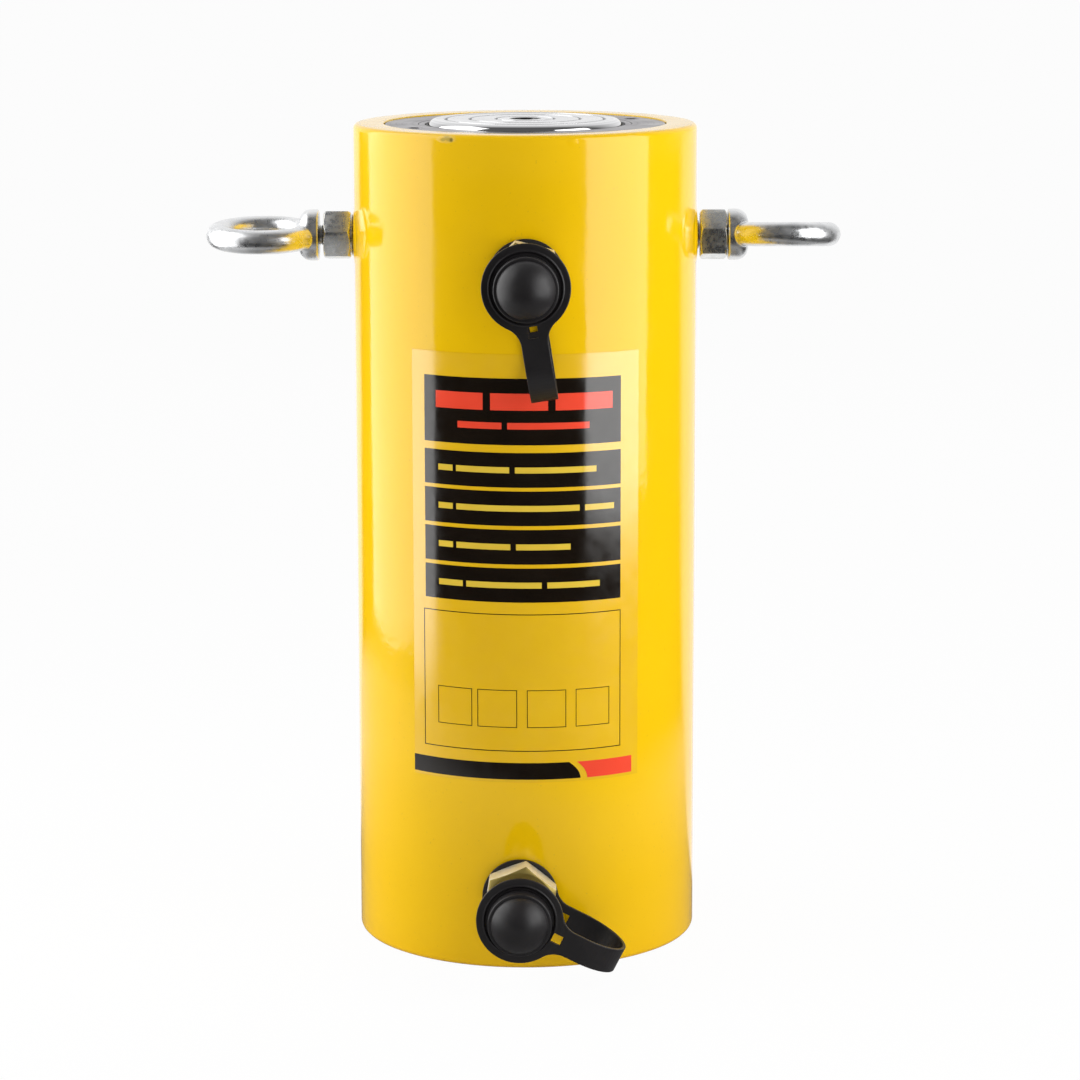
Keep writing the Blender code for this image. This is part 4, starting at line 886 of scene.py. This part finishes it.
def outward_frame(side):
    """The boss's face, with Z pointing out of it. Side is -1 for left, 1 for right."""
    outwards = Matrix.Rotation(side * math.pi / 2, 4, 'Y')
    return Matrix.Translation((side * BOSS_FACE, 0, EYE_HEIGHT)) @ outwards


# %% The nuts
NUT_FLATS = 0.0246
NUT_START, NUT_END = 0.0013, 0.0159
NUT_BORE = 0.0058


def eye_nut(name, side, turn_by, face_radius, node):
    nut = hexagon(name, NUT_FLATS, NUT_START, NUT_END, turn_by)
    face = turn(name + "_face", [(0, 0.0003), (face_radius, 0.0003, 0.0002),
                                 (face_radius, NUT_START + 0.002), (0, NUT_START + 0.002)], steps=96)
    cut_with(nut, face, 'UNION')
    bore = turn(name + "_bore", [(0, -0.001), (0.0072, -0.001), (NUT_BORE, 0.0012),
                                 (NUT_BORE, NUT_END - 0.0012), (0.0070, NUT_END + 0.001),
                                 (0, NUT_END + 0.001)], steps=48)
    cut_with(nut, bore)
    place_piece(nut, outward_frame(side))
    finish_piece(nut, bar_zinc, "bright_zinc", node)


eye_nut("left_lock_nut", -1, math.radians(11), 0.0112, "left_eye_nut")
eye_nut("right_lock_nut", 1, math.radians(41.7), 0.0076, "right_eye_nut")

# %% The forgings
RING_RADIUS = 0.0242
RING_SECTION = 0.0130
COLLAR_RADIUS = 0.0139
SHANK_RADIUS = 0.0055
SHANK_END = -0.0150
SHANK_THREAD = 0.0006
FORGING_VOXEL = 0.00046


def eye_bolt(name, side, gap, tilt, node):
    """Collar and ring melted into one forging, with a threaded shank joined on."""
    collar = NUT_END + 0.0003 + gap
    dome = []
    for i in range(13):
        angle = math.pi / 2 * (1 - i / 12)
        dome.append((0.0070 + 0.0069 * math.cos(angle), collar + 0.0045 + 0.0065 * math.sin(angle)))
    head = turn(name, [(0, collar + 0.0110), *dome, (COLLAR_RADIUS, collar + 0.0006, 0.0005),
                       (COLLAR_RADIUS - 0.0006, collar, 0.0004), (0, collar)], steps=96)
    ring = new_piece(
        name + "_ring", bpy.ops.mesh.primitive_torus_add, major_segments=128, minor_segments=40,
        major_radius=RING_RADIUS, minor_radius=RING_SECTION / 2, rotation=(0, math.pi / 2, tilt),
        location=(0, 0, collar + RING_RADIUS + RING_SECTION / 2))
    forging = join(name, [head, ring])
    apply_modifier(forging, 'REMESH', mode='VOXEL', voxel_size=FORGING_VOXEL)
    apply_modifier(forging, 'SMOOTH', factor=0.5, iterations=6)
    threads = [(SHANK_RADIUS - (SHANK_THREAD if i % 2 else 0), collar + SHANK_THREAD - i * SHANK_THREAD)
               for i in range(12)]
    shank = turn(name + "_shank", [(0, collar + 0.0012), (SHANK_RADIUS, collar + 0.0012), *threads,
                                   (SHANK_RADIUS, collar - 0.008), (SHANK_RADIUS, SHANK_END + 0.001),
                                   (SHANK_RADIUS - 0.001, SHANK_END), (0, SHANK_END)], steps=48)
    bolt = join(name, [forging, shank])
    place_piece(bolt, outward_frame(side))
    finish_piece(bolt, forged_zinc, "bright_zinc", node, smooth=50)


eye_bolt("left_eye_forging", -1, 0.0024, math.radians(-3.5), "left_eye_bolt")
eye_bolt("right_eye_forging", 1, 0.0003, math.radians(-6), "right_eye_bolt")

# %% [markdown]
# ## Couplers
#
# Each port carries a hexagon adapter, a valve body with a coarse thread, and a rubber cap tied to it by
# a strap. All are modelled along Z, at their distance from the barrel's axis, and then turned to face
# the front. The thread is a true helix: the body is turned with many fine rings, and each vertex of
# the threaded part moves in or out by where it lies along the helix.

# %% Where the couplers are
PORTS = {"lower": (-0.0033, 0, 0.041), "upper": (0.0007, 0, 0.3744)}


def port_frame(port):
    """The port's axis, with Z pointing out of the barrel's front."""
    return Matrix.Translation(port) @ Matrix.Rotation(math.pi / 2, 4, 'X')


# %% Hexagon adapters
HEX_FLATS = 0.036
HEX_BACK, HEX_FRONT = 0.0957, 0.1110
NECK_RADIUS, SPIGOT_RADIUS, PASSAGE_RADIUS = 0.0083, 0.0095, 0.003


def adapter(level, port, turn_by):
    name = level + "_hexagon"
    bar = hexagon(name, HEX_FLATS, HEX_BACK, HEX_FRONT, turn_by)
    neck = turn(name + "_neck", [(0, 0.0785), (NECK_RADIUS - 0.0005, 0.0785), (NECK_RADIUS, 0.0800),
                                 (NECK_RADIUS, HEX_BACK + 0.002), (0, HEX_BACK + 0.002)], steps=64)
    spigot = turn(name + "_spigot", [(0, HEX_FRONT - 0.002), (SPIGOT_RADIUS, HEX_FRONT - 0.002),
                                     (SPIGOT_RADIUS, 0.1190, 0.0008), (0, 0.1190)], steps=64)
    cut_with(bar, neck, 'UNION')
    cut_with(bar, spigot, 'UNION')
    passage = turn(name + "_passage", [(0, 0.078), (PASSAGE_RADIUS, 0.078), (PASSAGE_RADIUS, 0.120),
                                       (0, 0.120)], steps=32)
    cut_with(bar, passage)
    place_piece(bar, port_frame(port))
    # The bar's cut end and its chamfer look forwards, and the flats don't. The faces that look forwards
    # are marked for painted shade.
    front_painted_shade = bar.data.attributes.new("front_painted_shade", 'FLOAT', 'FACE')
    for face in bar.data.polygons:
        front_painted_shade.data[face.index].value = float(face.normal.y < -0.4)
    finish_piece(bar, gold_zinc, "yellow_zinc", level + "_coupler_adapter")


adapter("lower", PORTS["lower"], math.radians(-9))
adapter("upper", PORTS["upper"], math.radians(16))

# %% Valve bodies with a coarse thread
THREAD_PITCH = 0.0025
THREAD_DEPTH = 0.0012
THREAD_FADE = 0.0015
THREAD_START, THREAD_END = 0.1128, 0.1343
VALVE_RADIUS = 0.0150


def cut_thread(piece):
    """Moves the vertices of the threaded wall inwards along a helix, fading out at both ends."""
    for vertex in piece.data.vertices:
        spot = vertex.co
        radius = math.hypot(spot.x, spot.y)
        if radius < VALVE_RADIUS - 0.00001 or not THREAD_START < spot.z < THREAD_END:
            continue
        phase = (spot.z / THREAD_PITCH - math.atan2(spot.y, spot.x) / math.tau) % 1
        depth = min(max(1.35 - abs(phase - 0.5) * 2.7, 0), 1)
        from_end = min(spot.z - THREAD_START, THREAD_END - spot.z) / THREAD_FADE
        scale = 1 - THREAD_DEPTH * depth * min(from_end, 1) / radius
        vertex.co = (spot.x * scale, spot.y * scale, spot.z)


def valve_body(level, port):
    rows = [(VALVE_RADIUS, 0.1345 - i * 0.00025) for i in range(89)]
    body = turn(level + "_valve_body", [
        (0.0080, 0.1533, 0.0006), (0.0123, 0.1533, 0.0008), (0.0123, 0.1353, 0.0003),
        (VALVE_RADIUS, 0.1353, 0.0007), *rows, (VALVE_RADIUS, 0.1113, 0.0007), (0.0098, 0.1113),
        (0.0098, 0.1193), (0.0068, 0.1193), (0.0068, 0.1321), (0.0036, 0.1353), (0.0036, 0.1383),
        (0.0080, 0.1383, 0.0003), (0.0080, 0.1448), (0.0101, 0.1448), (0.0101, 0.1478),
        (0.0080, 0.1478)], closed=True, steps=96)
    cut_thread(body)
    place_piece(body, port_frame(port))
    finish_piece(body, olive_zinc, "olive_zinc", level + "_coupler_body", smooth=45)


for level, port in PORTS.items():
    valve_body(level, port)

# %% [markdown]
# The cap is moulded rubber: two brims with a groove between them that holds the strap's ring, and a
# dome that meets the front brim in a sharp hollow. Behind it, in the socket, sit a seal ring and the
# check ball on its spring. The ring shows when the cap is pulled off.

# %% Caps, seal rings and balls
DOME_RADIUS = 0.0150
DOME_FRONT = 0.1606
SEAL_RADIUS, SEAL_SECTION, SEAL_PLACE = 0.0086, 0.0024, 0.1463
BALL_RADIUS = 0.00476


def dome_section():
    """The cap's dome, from its middle to its edge: nearly a paraboloid, steeper at its edge."""
    points = []
    for i in range(15):
        share = i / 14
        points.append((DOME_RADIUS * share, DOME_FRONT - 0.0085 * share ** 2 - 0.0012 * share ** 8))
    return points


def dust_cap(level, port):
    cap = turn(level + "_cap_moulding", [
        *dome_section(), (DOME_RADIUS, 0.1499, 0.0001), (0.0168, 0.1499, 0.0007), (0.0168, 0.1417, 0.0003),
        (0.0158, 0.1417), (0.0158, 0.1391), (0.0171, 0.1391, 0.0005), (0.0171, 0.1356, 0.0008),
        (0.0126, 0.1356, 0.0004), (0.0126, 0.1536, 0.0006), (0, 0.1536)], steps=128, corner_steps=4)
    place_piece(cap, port_frame(port))
    finish_piece(cap, cap_rubber, "rubber", level + "_dust_cap", body=level + "_cap", smooth=40)


def ring_and_ball(level, port):
    """The seal ring in the socket, and the check ball behind its seat."""
    seal = new_piece(level + "_socket_ring", bpy.ops.mesh.primitive_torus_add, major_segments=72,
                     minor_segments=16, major_radius=SEAL_RADIUS, minor_radius=SEAL_SECTION / 2)
    place_piece(seal, port_frame(port) @ Matrix.Translation((0, 0, SEAL_PLACE)))
    finish_piece(seal, seal_rubber, "rubber", level + "_coupler_seal")
    centre = sum(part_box(level + "_coupler_ball"), Vector()) / 2
    ball = new_piece(level + "_check_ball_polished", bpy.ops.mesh.primitive_uv_sphere_add, segments=40,
                     ring_count=20, radius=BALL_RADIUS)
    place_piece(ball, Matrix.Translation(centre))
    finish_piece(ball, hard_chrome, "chrome", level + "_coupler_ball", body=level + "_check_ball")


for make in (dust_cap, ring_and_ball):
    for level, port in PORTS.items():
        make(level, port)

# %% The springs behind the balls
SPRING_WIRE = 0.00045
SPRING_COIL = 0.0037
SPRING_TURNS = 3


def coil_spring(level, port):
    """Round wire along a helix from the adapter to the ball."""
    front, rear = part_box(level + "_coupler_spring")
    length = rear.y - front.y
    steps = SPRING_TURNS * 24
    wire = bpy.data.curves.new(level + "_spring_wire", 'CURVE')
    wire.dimensions = '3D'
    wire.bevel_depth = SPRING_WIRE
    wire.bevel_resolution = 4
    wire.use_fill_caps = True
    course = wire.splines.new('POLY')
    course.points.add(steps)
    for i, point in enumerate(course.points):
        angle = math.tau * SPRING_TURNS * i / steps
        point.co = (port[0] + SPRING_COIL * math.cos(angle),
                    rear.y - SPRING_WIRE - (length - 2 * SPRING_WIRE) * i / steps,
                    port[2] + SPRING_COIL * math.sin(angle), 1)
    spring = bpy.data.objects.new(level + "_coil_spring", wire)
    bpy.context.collection.objects.link(spring)
    pick(spring)
    bpy.ops.object.convert(target='MESH')
    bpy.ops.object.mode_set(mode='EDIT')
    close_up(0.00001)
    finish_piece(spring, bar_zinc, "bright_zinc", level + "_coupler_spring", smooth=60)
    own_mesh(spring)


for level, port in PORTS.items():
    coil_spring(level, port)

# %% [markdown]
# The strap is one moulding: a ring behind the hexagon, a flat band bent back on itself, and a ring in
# the cap's groove. The band widens into each ring along a hollow curve. It is made as a flat ribbon,
# extruded step by step round its bend, thickened, joined to its two rings and remeshed, so that the
# edges come out softly rounded like rubber.

# %% The band as an extruded ribbon
REAR, FRONT = 0.09435, 0.1404
REAR_RING, FRONT_RING = 0.0203, 0.0230
BAND_HALF = 0.0070
FILLET = 0.012
RIBBON_THICKNESS = 0.0018


def fillet_end(ring_radius):
    """How far from the axis the hollow curve meets the band's straight edge."""
    return math.sqrt((ring_radius + FILLET) ** 2 - (BAND_HALF + FILLET) ** 2)


def half_width(distance, ring_radius):
    """Half of the band's width, widening along a hollow curve that ends flush with the ring."""
    along = fillet_end(ring_radius)
    if distance >= along:
        return BAND_HALF
    if distance >= along * ring_radius / (ring_radius + FILLET):
        return BAND_HALF + FILLET - math.sqrt(FILLET ** 2 - (along - distance) ** 2)
    return math.sqrt(ring_radius ** 2 - distance ** 2) - 0.0002


def band_path(reach):
    """(distance from the axis, depth, half width) along the band, from the rear ring to the front one."""
    bend = (FRONT - REAR) / 2
    rear_start = fillet_end(REAR_RING) * REAR_RING / (REAR_RING + FILLET) - 0.002
    front_start = fillet_end(FRONT_RING) * FRONT_RING / (FRONT_RING + FILLET) - 0.002
    path = []
    for i in range(26):
        distance = rear_start + (reach - bend - rear_start) * i / 26
        path.append((distance, REAR, half_width(distance, REAR_RING)))
    for i in range(33):
        angle = -math.pi / 2 + math.pi * i / 32
        path.append((reach - bend + bend * math.cos(angle), (REAR + FRONT) / 2 + bend * math.sin(angle),
                     BAND_HALF))
    for i in range(26):
        distance = reach - bend - (reach - bend - front_start) * (i + 1) / 26
        path.append((distance, FRONT, half_width(distance, FRONT_RING)))
    return path


def ribbon(name, path):
    """A strip extruded edge by edge along the path, and set to its width at each step."""
    across, up, half = path[0]
    strip = first_point(name, across, up)
    bpy.ops.transform.translate(value=(0, -half, 0))
    bpy.ops.mesh.extrude_vertices_move(TRANSFORM_OT_translate={"value": (0, 2 * half, 0)})
    bpy.ops.mesh.select_all(action='SELECT')
    for last, following in zip(path, path[1:]):
        bpy.ops.mesh.extrude_edges_move(TRANSFORM_OT_translate={
            "value": (following[0] - last[0], 0, following[1] - last[1])})
        bpy.ops.transform.resize(value=(1, following[2] / last[2], 1),
                                 center_override=(following[0], 0, following[1]))
    bpy.ops.object.mode_set(mode='OBJECT')
    apply_modifier(strip, 'SOLIDIFY', thickness=RIBBON_THICKNESS, offset=0,
                   use_even_offset=True)
    return strip


# %% Two straps
HOLE = 0.005
REAR_HOLE = (0.0262, REAR, HOLE)
STRAP_VOXEL = 0.00034


def strap(level, port, angle, reach, front_hole):
    """Ribbon and two rings melted into one moulding, with its two square holes. A hole is given by its
    distance from the axis, its depth and its length."""
    name = level + "_strap_moulding"
    band = ribbon(name, band_path(reach))
    place_piece(band, Matrix.Rotation(angle, 4, 'Z'))
    rear = turn(name + "_rear", [(0.0086, REAR + 0.001), (REAR_RING, REAR + 0.001),
                                 (REAR_RING, REAR - 0.001), (0.0086, REAR - 0.001)], closed=True)
    front = turn(name + "_front", [
        (0.0161, FRONT + 0.0004), (0.0184, FRONT + 0.0004), (0.0187, FRONT + 0.0014),
        (0.0193, FRONT + 0.0014), (0.0196, FRONT + 0.001), (FRONT_RING, FRONT + 0.001),
        (FRONT_RING, FRONT - 0.001), (0.0161, FRONT - 0.001)], closed=True)
    moulding = join(name, [band, rear, front])
    apply_modifier(moulding, 'REMESH', mode='VOXEL', voxel_size=STRAP_VOXEL)
    for distance, depth, length in (REAR_HOLE, front_hole):
        hole = new_piece(name + "_hole", bpy.ops.mesh.primitive_cube_add, size=HOLE,
                         scale=(length / HOLE, 1, 1))
        place_piece(hole, Matrix.Rotation(angle, 4, 'Z') @ Matrix.Translation((distance, 0, depth)))
        cut_with(moulding, hole)
    place_piece(moulding, port_frame(port))
    finish_piece(moulding, cap_rubber, "rubber", level + "_cap_strap", body=None, smooth=60)
    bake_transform(moulding)


strap("lower", PORTS["lower"], math.radians(-27), 0.0587, (0.0219, FRONT, 0.0056))
strap("upper", PORTS["upper"], math.radians(-81), 0.0610, (0.0228, FRONT, 0.0062))

# %% [markdown]
# ## Inside
#
# The piston, its nut, the guide rings and the other seals stay as the CAD made them, because they are
# never seen from outside. They get real finishes all the same.

# %% Finishes for the hidden pieces
HIDDEN = {
    machined_steel: ["piston"],
    gland_steel: ["piston_nut"],
    filled_bronze: ["gland_backup_ring", "rod_guide_ring_lower", "rod_guide_ring_upper",
                    "piston_guide_ring_lower", "piston_guide_ring_upper"],
    seal_urethane: ["rod_seal", "piston_seal"],
    seal_rubber: ["gland_o_ring", "piston_o_ring", "piston_seal_o_ring"],
}
for finish, names in HIDDEN.items():
    for name in names:
        node = frame["nodes"][name]
        node.data.materials.clear()
        node.data.materials.append(finish)
print("hidden pieces finished:", sum(len(names) for names in HIDDEN.values()))

# %% [markdown]
# ## Finish
#
# The script leaves edit mode and deselects everything. The dressed model has to stay inside the
# CAD model's box.

# %% Leave object mode with nothing selected
start_fresh()
